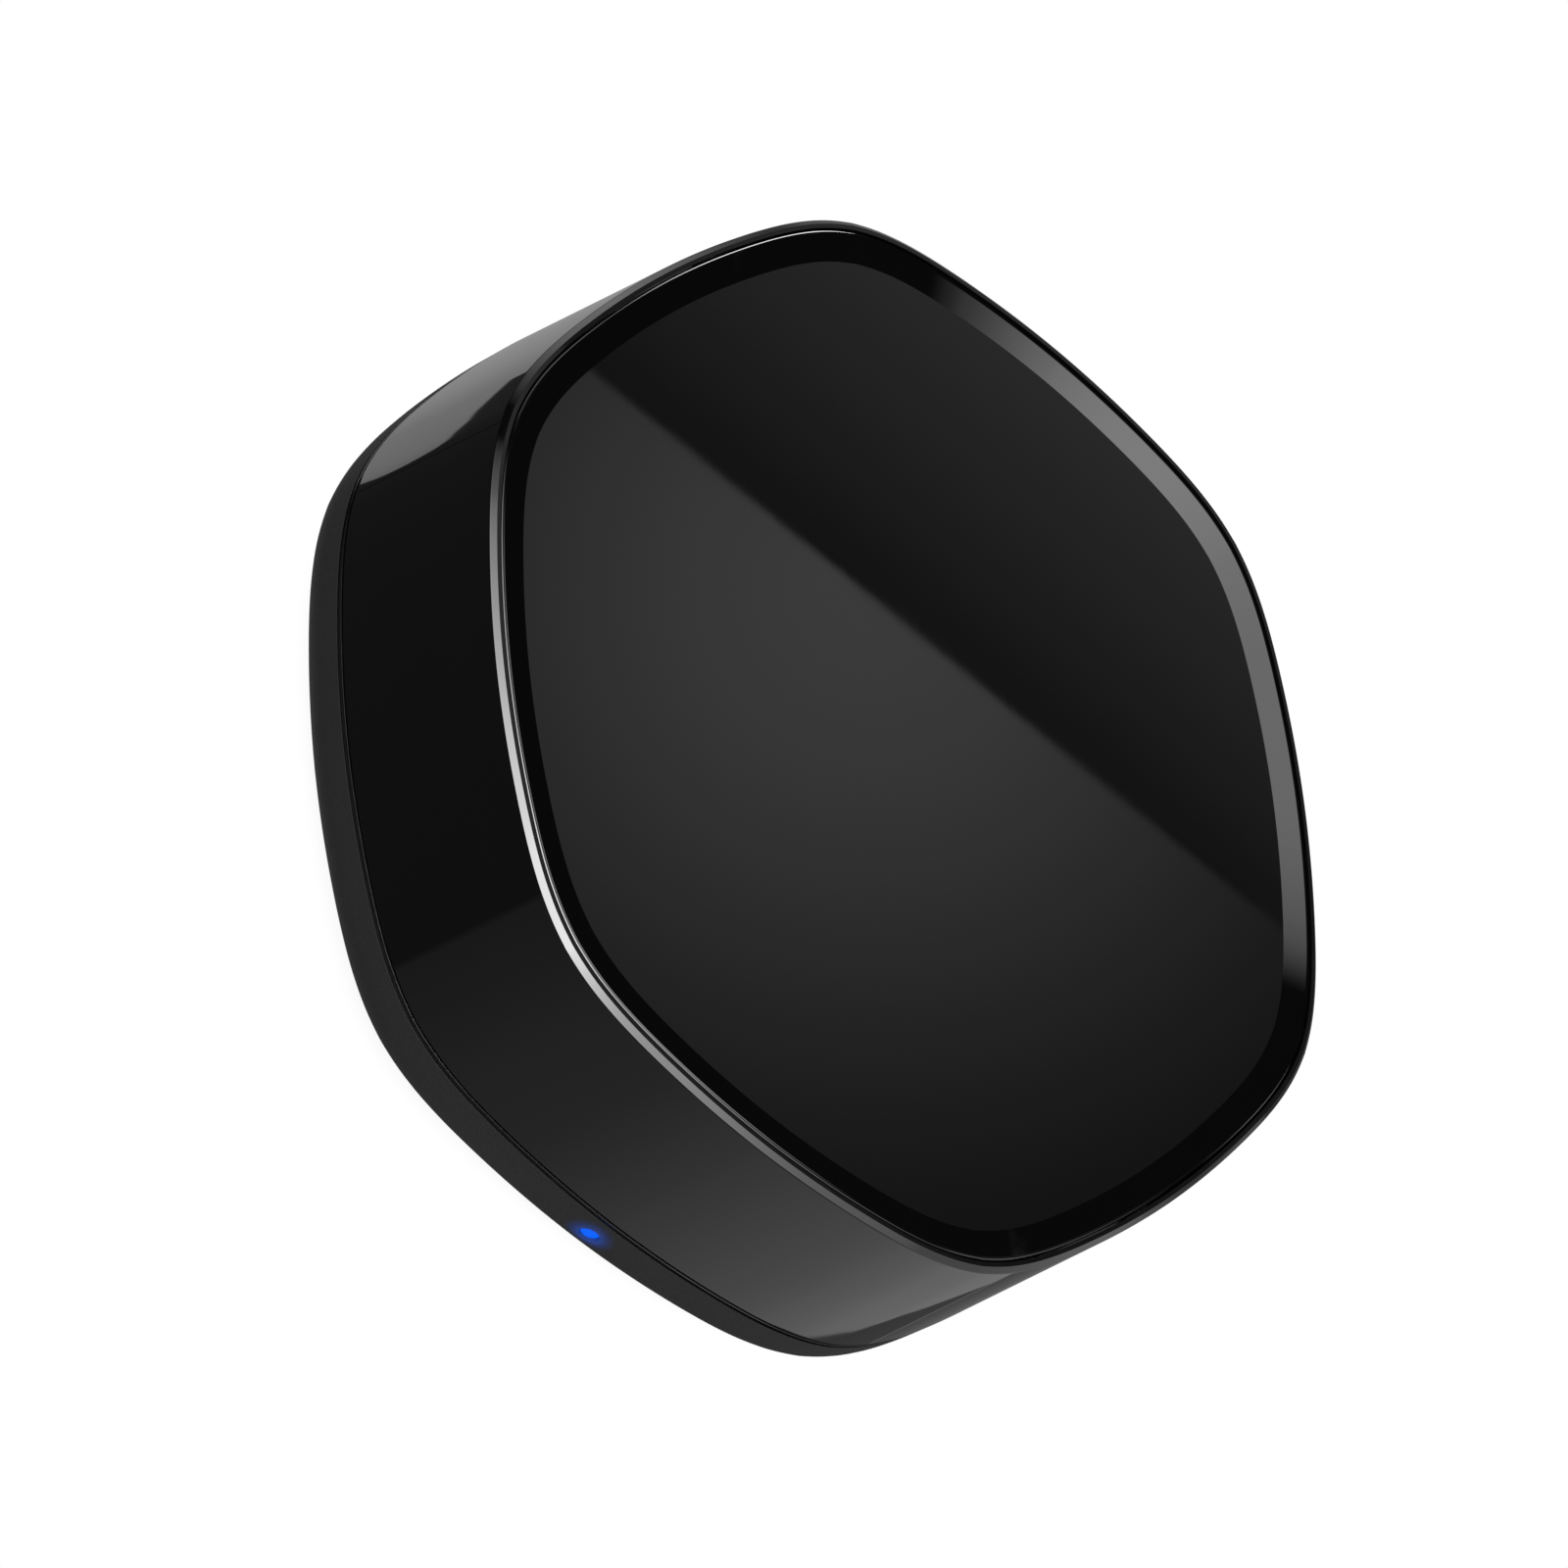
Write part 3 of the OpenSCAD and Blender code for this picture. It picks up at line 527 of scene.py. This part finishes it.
# %% Finishes of laminates, resins and moulded insulators
FINISH |= {
    "board_green": finish_for("board_green", (0.012, 0.075, 0.035), (0.3, 0.3, 0.16), gloss=(0.28, 0.42),
                              grain=1800, depth=0.01, mottle=0.3, Coat_Weight=0.3),
    "radio_blue": finish_for("radio_blue", (0.01, 0.035, 0.11), (0.3, 0.3, 0.2), gloss=(0.28, 0.42),
                             grain=2000, depth=0.008, mottle=0.25, Coat_Weight=0.3),
    "insulator_black": finish_for("insulator_black", (0.02, 0.02, 0.021), (0.06, 0.06, 0.06),
                                  gloss=(0.4, 0.55), grain=5000, depth=0.008),
    "holder_black": finish_for("holder_black", (0.025, 0.025, 0.027), (0.06, 0.06, 0.06),
                               gloss=(0.42, 0.6), grain=4500, depth=0.02),
    "plunger_red": finish_for("plunger_red", (0.35, 0.04, 0.03), (0.5, 0.12, 0.1), gloss=(0.35, 0.5),
                              grain=6000, depth=0.005),
    "epoxy_black": finish_for("epoxy_black", (0.022, 0.022, 0.023), (0.05, 0.05, 0.05), gloss=(0.5, 0.68),
                              grain=6500, depth=0.015),
    "ferrite_grey": finish_for("ferrite_grey", (0.075, 0.075, 0.08), (0.16, 0.16, 0.16), gloss=(0.6, 0.8),
                               grain=4500, depth=0.03),
    "ceramic_tan": finish_for("ceramic_tan", (0.4, 0.27, 0.15), (0.6, 0.58, 0.55), gloss=(0.4, 0.55),
                              grain=5000, depth=0.01),
    "emitter_violet": finish_for("emitter_violet", (0.035, 0.02, 0.07), (0.1, 0.08, 0.16),
                                 gloss=(0.06, 0.12), grain=600, depth=0.003, Coat_Weight=0.5),
    "receiver_dark": finish_for("receiver_dark", (0.02, 0.012, 0.018), (0.06, 0.05, 0.06), gloss=(0.1, 0.2),
                                grain=900, depth=0.004, Coat_Weight=0.4),
    "led_blue": finish_for("led_blue", (0.05, 0.2, 0.8), (0.3, 0.5, 0.9), gloss=(0.1, 0.2), grain=900,
                           depth=0.003, Emission_Color=(0, 0.1, 1, 1), Emission_Strength=2),
    "pipe_clear": finish_for("pipe_clear", (0.0, 0.01, 0.05), (0.0, 0.02, 0.1), gloss=(0.5, 0.6), grain=900,
                             depth=0.002, Specular_IOR_Level=0.05, Emission_Color=(0, 0.105, 1, 1),
                             Emission_Strength=0.97),
}
print("finishes:", len(FINISH))


# %% [markdown]
# ## The status light's painted glow
#
# The light shines through a clear rod. Round the hole a blue glow is painted into the matt
# plastic as emission, so the base itself gives light there. The painted glow is measured from
# the hole's centre, so it stays on the plastic however the hub is looked at: full at the
# rim, and gone a millimetre or so away.

# %% Paint a glow into the base round the light
light_low, light_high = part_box("light_pipe")
light_z = (light_low.z + light_high.z) / 2
light_hole_r = 0.7


def build_painted_glow():
    tree, given, made = make_group("glow_round_hole", {"Rim": 0.7, "Reach": 1.6}, ["Mask"])
    place = add(tree, "TexCoord").outputs["Object"]
    away = add(tree, "VectorMath", {0: place, 1: (0, light_low.y, light_z)}, operation="DISTANCE")
    in_mm = add(tree, "Math", {0: away.outputs["Value"], 1: 1 / MM}, operation="MULTIPLY").outputs[0]
    near = add(tree, "MapRange", {"Value": in_mm, "From Min": given.outputs["Reach"],
                                  "From Max": given.outputs["Rim"]}).outputs["Result"]
    fading = add(tree, "Math", {0: near, 1: 2.2}, operation="POWER").outputs[0]
    tree.links.new(fading, made.inputs["Mask"])
    return tree


PAINTED_GLOW = build_painted_glow()
base_tree = FINISH["base_black"].node_tree
base_shader = base_tree.nodes["Principled BSDF"]
# Painted glow: blue emission in the base's own colour, full at the hole's rim and gone 1.9 mm from its
# centre.
painted_glow_mask = use(base_tree, PAINTED_GLOW, Rim=light_hole_r, Reach=1.9)
blue = blend(base_tree, painted_glow_mask, (0, 0, 0, 1), (0, 0.03, 0.22, 1))
base_tree.links.new(blue, base_shader.inputs["Emission Color"])
base_shader.inputs["Emission Strength"].default_value = 1
print("light at height", round(light_z / MM, 2), "mm")


# %% [markdown]
# ## Heights that the shells share
#
# Pieces that meet must agree on a height, so each shared height is read or set once.

# %% Read them from the frame, in millimetres
def z_range(node):
    low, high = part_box(node)
    return low.z / MM, high.z / MM


panel_z, panel_crest = z_range("top_panel")
crest = z_range("side_shell")[1]
underside, lip_top = z_range("base_tray")
foot_top = z_range("foot_ring")[1]
board_seat, board_top = z_range("main_board")
shell_foot, tray_rim = 7.12, 6.87
floor_inside, head_seat = 2.5, 3.2
print("crest", crest, "panel", panel_z, "underside", underside, "lip", lip_top)

# %% [markdown]
# ## Top panel
#
# A polished panel with a flat sunk face. Its border slopes up to a fine crest, which
# catches a thin line of light. One open profile makes it: from the hidden flat bottom,
# round the outer edge, over the crest and down the border to the face. The edge between
# border and face stays sharp, as the tool that made it was.

# %% Pull up the top panel
border_in, face_z = 3.17, panel_crest - 0.44
top_panel = pull("top_panel_skin", rounded([
    (6, panel_z, 0), (1.27, panel_z, 0.12), (1.27, panel_crest + 0.027, 0.2), (border_in, face_z, 0)]))
deliver(top_panel, "panel_black", "top_panel")

# %% [markdown]
# ## Side shell
#
# A glossy ring with a wall that leans in a little, a flat bevel at its top, and inside a
# ledge that carries the panel. At its foot a hair-thin groove and a tiny bead catch the
# light just above the parting line. The profile closes on itself, so it makes a ring.

# %% Pull up the shell's ring
ledge_top, ledge_under, ledge_in = 19.4, 17.9, 4.37
shell_wall, lap_in, lap_top, panel_gap_in = 2.2, 1.10, 9.0, 1.17
foot_and_groove = [
    (lap_in, shell_foot, 0), (0, shell_foot, 0.07), (0, 7.26, 0.015), (0.14, 7.29, 0), (0.14, 7.40, 0)]
wall_and_bevel = [
    (0.01, 7.45, 0.02), (0.56, crest - 0.34, 0.12), (0.9, crest - 0.02, 0), (panel_gap_in, crest - 0.02, 0)]
ledge_and_inside = [
    (panel_gap_in, ledge_top, 0), (ledge_in, ledge_top, 0.1), (ledge_in, ledge_under, 0.1),
    (shell_wall, ledge_under, 0.3), (shell_wall, lap_top, 0), (lap_in, lap_top, 0)]
shell_profile = foot_and_groove + wall_and_bevel + ledge_and_inside
side_shell = pull("side_shell_skin", rounded(shell_profile, closed=True), closed=True)
print("points in the shell's profile:", len(side_shell.data.vertices) // OUTLINE_POINTS)


# %% [markdown]
# ### Screw bosses and ribs
#
# Under the ledge stand three bosses for the screws, each tied to the wall by a rib, and
# three ribs that hold the circuit board down. They are simple moulded shapes, so each is
# modelled once, copied round the middle, and joined to the ring with a Boolean.

# %% Helpers for blocks and copies round the middle
def block(name, low, high, bevel=0.0, segments=2):
    """A box between two corners in millimetres, with its edges bevelled."""
    low, high = Vector(low) * MM, Vector(high) * MM
    deselect()
    bpy.ops.mesh.primitive_cube_add(size=1, location=(low + high) / 2, scale=high - low)
    piece = bpy.context.object
    piece.name = name
    place_in_mesh(piece)
    if bevel:
        edit(piece)
        bpy.ops.mesh.select_all(action="SELECT")
        bpy.ops.mesh.bevel(offset=bevel * MM, segments=segments, affect="EDGES")
        deselect()
    return piece


def round_the_middle(piece, angles):
    """Turns a piece to the first angle, and a copy of it to each other one."""
    copies = [copy_of(piece, piece.name + "_turned", turned=radians(angle)) for angle in angles[1:]]
    piece.rotation_euler = (0, 0, radians(angles[0]))
    place_in_mesh(piece)
    return [piece] + copies


# %% Add the bosses and ribs
screw_corners, rib_corners, screw_reach = [0, 120, 240], [60, 180, 300], 25.4
rib_half, rib_top, rib_root = 0.6, 18.3, 32.9
boss = turned("boss", [(2.8, lip_top), (2.8, 18.65)], (screw_reach, 0, 0))
cut(side_shell, join(round_the_middle(boss, screw_corners), "bosses"), "UNION")
web = block("web", (screw_reach, -rib_half, lip_top + 1), (rib_root, rib_half, rib_top))
cut(side_shell, join(round_the_middle(web, screw_corners), "webs"), "UNION")
rib = block("rib", (30.1, -rib_half, board_top), (32.1, rib_half, 18.6))
cut(side_shell, join(round_the_middle(rib, rib_corners), "ribs"), "UNION")
rib_foot = block("rib_foot", (30.5, -rib_half, lap_top + 0.1), (rib_root, rib_half, rib_top))
cut(side_shell, join(round_the_middle(rib_foot, rib_corners), "rib_feet"), "UNION")
bore = turned("bore", [(1.25, lip_top - 1), (1.25, 15.7)], (screw_reach, 0, 0), sides=32)
cut(side_shell, join(round_the_middle(bore, screw_corners), "bores"))
deliver(side_shell, "shell_black", "side_shell")

# %% [markdown]
# ## Base tray
#
# The base is a matt tray. Outside it is round towards its underside, where a groove
# takes the rubber foot. Inside it has a seat for the board and a thin lip that centres
# the shell. The profile starts in the middle of the underside and ends on the floor
# inside, so both ends close with a flat face.

# %% Pull up the tray
lip_out, lip_in, seat_in, gutter = 1.25, 2.1, 3.2, 6.45
foot_groove = [
    (11.5, underside, 0), (11.5, foot_top, 0), (5.5, foot_top, 0), (5.5, underside, 0.1)]
outside = [
    (0, underside, 4.6), (0, tray_rim, 0.02), (0.4, gutter, 0), (lip_out, gutter, 0)]
lip_seat_and_floor = [
    (lip_out, lip_top, 0.1), (lip_in, lip_top, 0.1), (lip_in, board_seat, 0), (seat_in, board_seat, 0.1),
    (seat_in, floor_inside, 0.2), (6, floor_inside, 0)]
base_tray = pull("base_tray_skin", rounded(foot_groove + outside + lip_seat_and_floor))
post = turned("post", [(3.2, 2.1), (3.2, lip_top)], (screw_reach, 0, 0))
cut(base_tray, join(round_the_middle(post, screw_corners), "posts"), "UNION")

# %% [markdown]
# ### Openings in the tray
#
# The back wall has a slot for the power inlet and a hole for the reset button, and the
# front wall has the tiny hole of the status light. Below, each screw has a recess for its
# head, and the label has a shallow one. All of these are cut with one Boolean.

# %% Cut the openings
inlet_low, inlet_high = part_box("usb_shell")
inlet_z = (inlet_low.z / MM + inlet_high.z / MM) / 2
slot_x, slot_z = 4.15, 1.625
slot_tool = block("slot", (-slot_x, 20, inlet_z - slot_z), (slot_x, 40, inlet_z + slot_z))
edit(slot_tool)
pick(slot_tool, "edges", lambda at, edge: abs(at.x) > 4 * MM and abs(at.z - inlet_z * MM) > 1.5 * MM)
bpy.ops.mesh.bevel(offset=0.8 * MM, segments=8, affect="EDGES")
deselect()
button_low, button_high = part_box("reset_button")
button_x = (button_low.x + button_high.x) / 2 / MM
button_z = (button_low.z + button_high.z) / 2 / MM
button_tool = turned("button_hole", [(1.2, 0), (1.2, 20)], (button_x, 20, button_z), (-90, 0, 0))
light_tool = turned("light_hole", [(light_hole_r, 0), (light_hole_r, 20)],
                    (0, -20, light_z / MM), (90, 0, 0))
label_tool = turned("label_recess", [(15.2, underside - 1), (15.2, underside + 0.1)], sides=128)
head = turned("head_recess", [(2.4, underside - 1), (2.4, head_seat)], (screw_reach, 0, 0))
shank = turned("shank_hole", [(1.4, 3), (1.4, lip_top + 1)], (screw_reach, 0, 0), sides=32)
cut(base_tray, join([slot_tool, button_tool, light_tool, label_tool], "wall_tools"))
cut(base_tray, join(round_the_middle(head, screw_corners), "head_tools"))
cut(base_tray, join(round_the_middle(shank, screw_corners), "shank_tools"))
deliver(base_tray, "base_black", "base_tray")

# %% [markdown]
# ## Foot and label
#
# The rubber ring has soft edges and two fine grooves that help it grip. Only a film
# label without any print sits inside it.

# %% Foot ring and label
groove_shape = ((-0.25, 0), (-0.1, 0.15), (0.1, 0.15), (0.25, 0))
groove = [(middle + off, z, 0) for middle in (7.6, 9.4) for off, z in groove_shape]
foot_ring = pull("foot_ring_skin", rounded(
    [(5.6, 0, 0.3)] + groove + [(11.4, 0, 0.3), (11.4, foot_top, 0), (5.6, foot_top, 0)], True), True)
deliver(foot_ring, "foot_rubber", "foot_ring")
label = turned("rating_label_film", [(14, underside + 0.1), (15, underside + 0.1), (15, underside + 0.03),
                                     (14.96, underside), (14, underside)], sides=128)
deliver(label, "label_grey", "rating_label")

# %% [markdown]
# ## Power inlet
#
# The inlet's shell is bent from sheet steel, wider at its top than below. A block gets
# its edges bevelled, its front is opened, and Solidify gives the sheet its thickness.
# The tongue inside carries five gold contacts.

# %% Shape the inlet's shell
front, back_end = inlet_high.y / MM, inlet_low.y / MM
sheet = 0.3
inlet_x = 3.75
near_side = (inlet_x - 0.05) * MM
inlet = block("inlet_sheet", (-inlet_x, back_end, inlet_low.z / MM), (inlet_x, front, inlet_high.z / MM))
edit(inlet)
pick(inlet, "edges", lambda at, edge: abs(at.x) > near_side and at.z < inlet_low.z + 0.01 * MM)
bpy.ops.mesh.bevel(offset=0.9 * MM, segments=3, profile=0.6, affect="EDGES")
pick(inlet, "edges", lambda at, edge: abs(at.x) > near_side and at.z > inlet_high.z - 0.01 * MM)
bpy.ops.mesh.bevel(offset=0.3 * MM, segments=4, affect="EDGES")
pick(inlet, "faces", lambda at, face: face.normal.y > 0.9)
bpy.ops.mesh.delete(type="FACE")
deselect()
walls = inlet.modifiers.new("sheet", "SOLIDIFY")
walls.thickness, walls.offset, walls.use_even_offset = sheet * MM, -1, True
rims = inlet.modifiers.new("rims", "BEVEL")
rims.width, rims.segments, rims.limit_method, rims.angle_limit = 0.05 * MM, 2, "ANGLE", radians(60)
apply_all(inlet)
foot_from, foot_to = 3.65, 5.05
foot = block("inlet_foot", (foot_from, back_end + 1.2, board_top),
             (foot_to, back_end + 2.8, board_top + sheet), 0.06)
feet = [foot, copy_of(foot, "inlet_foot_left", (-(foot_from + foot_to) * MM, 0, 0))]
deliver(join([inlet] + feet, "inlet_shell"), "inlet_steel", "usb_shell", smooth=35)

# %% Tongue and contacts
tongue_low, tongue_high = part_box("usb_tongue")
contacts_low, contacts_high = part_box("usb_contacts")
tongue_z = contacts_high.z / MM
tongue = block("inlet_tongue", (-1.85, tongue_low.y / MM + 0.5, tongue_z),
               (1.85, tongue_high.y / MM, tongue_z + 0.6), 0.08, 3)
heel = block("tongue_heel", (-2.35, tongue_low.y / MM, tongue_low.z / MM),
             (2.35, tongue_low.y / MM + 0.7, tongue_high.z / MM), 0.06)
deliver(join([tongue, heel], "inlet_tongue"), "insulator_black", "usb_tongue", smooth=35)
strip = block("contact", (-0.16, contacts_low.y / MM, contacts_low.z / MM),
              (0.16, contacts_high.y / MM, contacts_high.z / MM), 0.03)
contact_pitch = 0.65 * MM
strips = [strip] + [copy_of(strip, "contact_next", (step * contact_pitch, 0, 0))
                    for step in (-2, -1, 1, 2)]
deliver(join(strips, "inlet_contacts"), "contact_gold", "usb_contacts", smooth=35)

# %% [markdown]
# ## Reset button and light pipe
#
# Both are turned shapes. The button has a domed head with a soft edge and a collar that
# keeps it in. The light pipe is a clear rod with a slightly domed end.

# %% Turn the button
cap_back, cap_front = button_low.y / MM, button_high.y / MM
collar_r, cap_r, dome = 1.45, 1.05, 0.25
cap = [(cap_r * (1 - step / 8) ** 0.5, cap_front - dome + dome * step / 8) for step in range(8)]
button = turned("reset_cap", [(1.0, cap_back), (collar_r - 0.05, cap_back), (collar_r, cap_back + 0.05),
                              (collar_r, cap_back + 0.45), (collar_r - 0.05, cap_back + 0.5),
                              (cap_r, cap_back + 0.5)] + cap + [(0.15, cap_front)],
                (button_x, 0, button_z), (-90, 0, 0))
deliver(button, "button_black", "reset_button", body="button", smooth=35)

# %% Turn the light pipe
pipe_back, pipe_front = -light_high.y / MM, -light_low.y / MM
pipe = turned("light_rod", [(0.8, pipe_back), (0.85, pipe_back + 0.05), (0.85, pipe_back + 1.15),
                            (0.8, pipe_back + 1.2), (0.65, pipe_back + 1.2), (0.65, pipe_front - 0.12),
                            (0.58, pipe_front - 0.05), (0.4, pipe_front - 0.01), (0.2, pipe_front)],
              (0, 0, light_z / MM), (90, 0, 0))
deliver(pipe, "pipe_clear", "light_pipe", smooth=35)

# %% [markdown]
# ## Parts inside
#
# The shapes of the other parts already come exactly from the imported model. They stay as
# they are, and each gets the finish that its material slot names.

# %% Finish the parts that stay
slot_of = {part["node"]: part["material_slot"] for part in frame["record"]["subparts"]}
kept = [node for node in frame["nodes"].values() if not node.hide_render]
for node in kept:
    for material_slot in node.material_slots:
        material_slot.material = FINISH[slot_of[node.name]]
print("parts that stay:", len(kept))

# %% [markdown]
# ## Floor
#
# The floor is plain white and stays white, so it gives its own light. Only where the
# base comes near it is a painted contact shadow put on it, which makes it a little darker.
# It can be seen through from below, so the underside can be looked at, and polished parts do not mirror it.

# %% Lay the floor
deselect()
bpy.ops.mesh.primitive_plane_add(size=6)
floor = bpy.context.object
floor.name = "floor"
floor_material = bpy.data.materials.new("white_floor")
floor_material.use_nodes = True
tree = floor_material.node_tree
tree.nodes.remove(tree.nodes["Principled BSDF"])
# Painted contact shadow: ambient occlusion lowers the floor's light to 0.85 where the base is close.
contact_occlusion = add(tree, "AmbientOcclusion", {"Distance": 2 * MM}).outputs["AO"]
painted_contact_shadow = span(tree, contact_occlusion, 0.1, 0.6, 0.85, 1.0)
white = add(tree, "Emission", {"Color": (1, 1, 1, 1), "Strength": painted_contact_shadow}).outputs[0]
clear = add(tree, "BsdfTransparent").outputs[0]
from_below = add(tree, "NewGeometry").outputs["Backfacing"]
seen = add(tree, "MixShader", {0: from_below, 1: white, 2: clear}).outputs[0]
tree.links.new(seen, tree.nodes["Material Output"].inputs["Surface"])
floor.data.materials.append(floor_material)
floor.visible_glossy = False
print("floor laid")

# %% [markdown]
# ## Light
#
# A polished black object is lit by what it mirrors. In a product studio, white cards and
# soft boxes hang round it and the rest of the room stays dark. Here the same is built in the
# world's nodes: each soft box is a patch of the sky with soft edges, placed by its turn
# round the hub and its rise above the horizon. The camera itself sees plain white.

# %% Directions in the world
world = bpy.data.worlds.new("studio")
bpy.context.scene.world = world
world.use_nodes = True
sky = world.node_tree
toward = add(sky, "TexCoord").outputs["Generated"]
parts = add(sky, "SeparateXYZ", {0: toward})


def calc(operation, first, second=0.0, third=0.0):
    return add(sky, "Math", {0: first, 1: second, 2: third}, operation=operation).outputs[0]


turn_there = calc("DEGREES", calc("ARCTAN2", parts.outputs["Y"], parts.outputs["X"]))
rise_there = calc("DEGREES", calc("ARCSINE", parts.outputs["Z"]))


def within(value, middle, half, soft):
    """1 inside a range about a middle, falling softly to 0 outside it."""
    off = calc("SUBTRACT", value, middle)
    return add(sky, "MapRange", {"Value": calc("ABSOLUTE", off), "From Min": half - soft / 2,
                                 "From Max": half + soft / 2, "To Min": 1, "To Max": 0},
               interpolation_type="SMOOTHSTEP").outputs["Result"]


# %% A level that changes with the turn
def round_levels(levels):
    """Levels given as (degrees of turn, level), joined by straight lines."""
    whole_turn = calc("WRAP", turn_there, 360, 0)
    ramp = add(sky, "ValToRGB", {"Fac": calc("DIVIDE", whole_turn, 360)})
    while len(ramp.color_ramp.elements) < len(levels):
        ramp.color_ramp.elements.new(0.5)
    for element, (degrees, level) in zip(ramp.color_ramp.elements, levels):
        element.position = degrees / 360
        element.color = (level, level, level, 1)
    return ramp.outputs["Color"]


# %% Light above the horizon
overhead_level = calc("MULTIPLY_ADD", parts.outputs["X"], 6.1, 2.5)
overhead = calc("MULTIPLY", within(rise_there, 90, 27.6, 6), overhead_level)
key = round_levels([(150, 0), (165, 2), (205, 19), (244, 20), (280, 8), (306, 2), (322, 0)])
sides = round_levels([(0, 1.2), (10, 1.2), (18, 0), (95, 0), (109, 1.8), (136, 0), (300, 0), (318, 1.2),
                      (360, 1.2)])
slanted = calc("MULTIPLY_ADD", rise_there, -0.6, turn_there)
streak = calc("MULTIPLY", within(slanted, 79, 9, 4), within(rise_there, 25, 25, 8))
low_box = calc("MULTIPLY", within(rise_there, 6, 6, 4), within(turn_there, 57, 40, 12))
boxes = [
    calc("MAXIMUM", overhead, 0),
    calc("MULTIPLY", streak, 12),
    calc("MULTIPLY", within(rise_there, 42, 15, 6), key),
    calc("MULTIPLY", within(rise_there, 20, 25, 6), sides),
    calc("MULTIPLY", low_box, 1.5),
]

# %% [markdown]
# The light that the walls mirror comes from below the horizon, where white cards lie on
# the table round the hub. Its brightness changes slowly with direction, so it is drawn
# as levels over the turn, from 0 to 360 degrees. Two of the cards end in a straight edge,
# which cuts the light off higher or lower on the wall, and one of them ends in a curve.

# %% Cards below the horizon
cards = round_levels([
    (0, 0.65), (24, 0.4), (25, 0.13), (45, 0.13), (60, 0.3), (98, 0.5), (124, 0.85), (133, 0.85),
    (133.5, 0.05), (217, 0.05), (219, 0.14), (290, 0.26), (328, 0.85), (345, 0.85), (360, 0.65)])


def edge_card(first_turn, last_turn, level_at, rise_at, slope, lower, upper, dark, keeps_above):
    """Darkens the cards between two turns, on one side of a slightly slanted edge."""
    off = calc("WRAP", calc("SUBTRACT", turn_there, first_turn), 360, 0)
    rise = calc("MULTIPLY_ADD", calc("SUBTRACT", off, level_at), slope, rise_at)
    rise = calc("MINIMUM", calc("MAXIMUM", rise, lower), upper)
    over = calc("SUBTRACT", rise_there, rise)
    if not keeps_above:
        over = calc("MULTIPLY", over, -1)
    lit = span(sky, over, -0.02, 0.02, dark, 1)
    inside = calc("LESS_THAN", off, (last_turn - first_turn) % 360)
    return calc("ADD", calc("MULTIPLY", inside, lit), calc("SUBTRACT", 1, inside))


LAST_TURN = 133.5
bulge = calc("POWER", calc("ABSOLUTE", calc("ADD", rise_there, 43.6)), 2)
card_end = calc("MAXIMUM", calc("MULTIPLY_ADD", bulge, -20, 131), 118)
past_end = calc("MULTIPLY", calc("GREATER_THAN", turn_there, card_end),
                calc("LESS_THAN", turn_there, LAST_TURN))
round_edge = calc("MULTIPLY_ADD", past_end, -0.94, 1)
low_edge = edge_card(334, 24, level_at=7, rise_at=-43.78, slope=-0.0115, lower=-44.12, upper=-43.6,
                     dark=0.24, keeps_above=True)
high_edge = edge_card(98, LAST_TURN, level_at=6, rise_at=-43.85, slope=0.021, lower=-44, upper=-43.35,
                      dark=0.07, keeps_above=False)
below = span(sky, rise_there, -2, -8, 0, 1)
boxes.append(calc("MULTIPLY", calc("MULTIPLY", below, cards),
                  calc("MULTIPLY", low_edge, calc("MINIMUM", round_edge, high_edge))))

# %% [markdown]
# The flat top mirrors only a small patch of the room, so that patch decides how the
# whole face looks. A large white card stands there with one straight slanted edge. A
# soft round spot lights it near the middle of that edge, and beyond the edge a second
# card begins dark and gets slowly lighter.

# %% The card that the flat top mirrors
along_card, across_card = (0.9196, -0.2543, -0.2994), (-0.0048, 0.7547, -0.6561)
card_middle = (0.3928, 0.5968, 0.6996)


def dot(axis):
    return add(sky, "VectorMath", {0: toward, 1: axis}, operation="DOT_PRODUCT").outputs["Value"]


along, across = dot(along_card), dot(across_card)
off_spot = calc("ADD", calc("POWER", calc("ABSOLUTE", calc("ADD", along, 0.014)), 2),
                calc("MULTIPLY", across, across))
lit = calc("MULTIPLY", calc("EXPONENT", calc("MULTIPLY", off_spot, -450)), 0.8)
dim = span(sky, across, 0, 0.035, 0.06, 0.4)
before_edge = span(sky, across, -0.0004, 0.0004, 1, 0)
card = calc("ADD", calc("MULTIPLY", before_edge, lit),
            calc("MULTIPLY", calc("SUBTRACT", 1, before_edge), dim))
near = span(sky, dot(card_middle), cos(radians(7)), cos(radians(5)), 0, 1)
boxes.append(calc("MULTIPLY", near, card))

# %% Put the studio together
total = 0.01
for box in boxes:
    total = calc("ADD", total, box)
room = sky.nodes["Background"]
sky.links.new(total, room.inputs["Color"])
plain = add(sky, "Background", {"Color": (1, 1, 1, 1), "Strength": 1})
both = add(sky, "MixShader", {0: add(sky, "LightPath").outputs["Is Camera Ray"], 1: room.outputs[0],
                              2: plain.outputs[0]})
sky.links.new(both.outputs[0], sky.nodes["World Output"].inputs["Surface"])
bpy.context.scene.view_settings.view_transform = "Standard"
print("lights in the studio:", len(boxes))
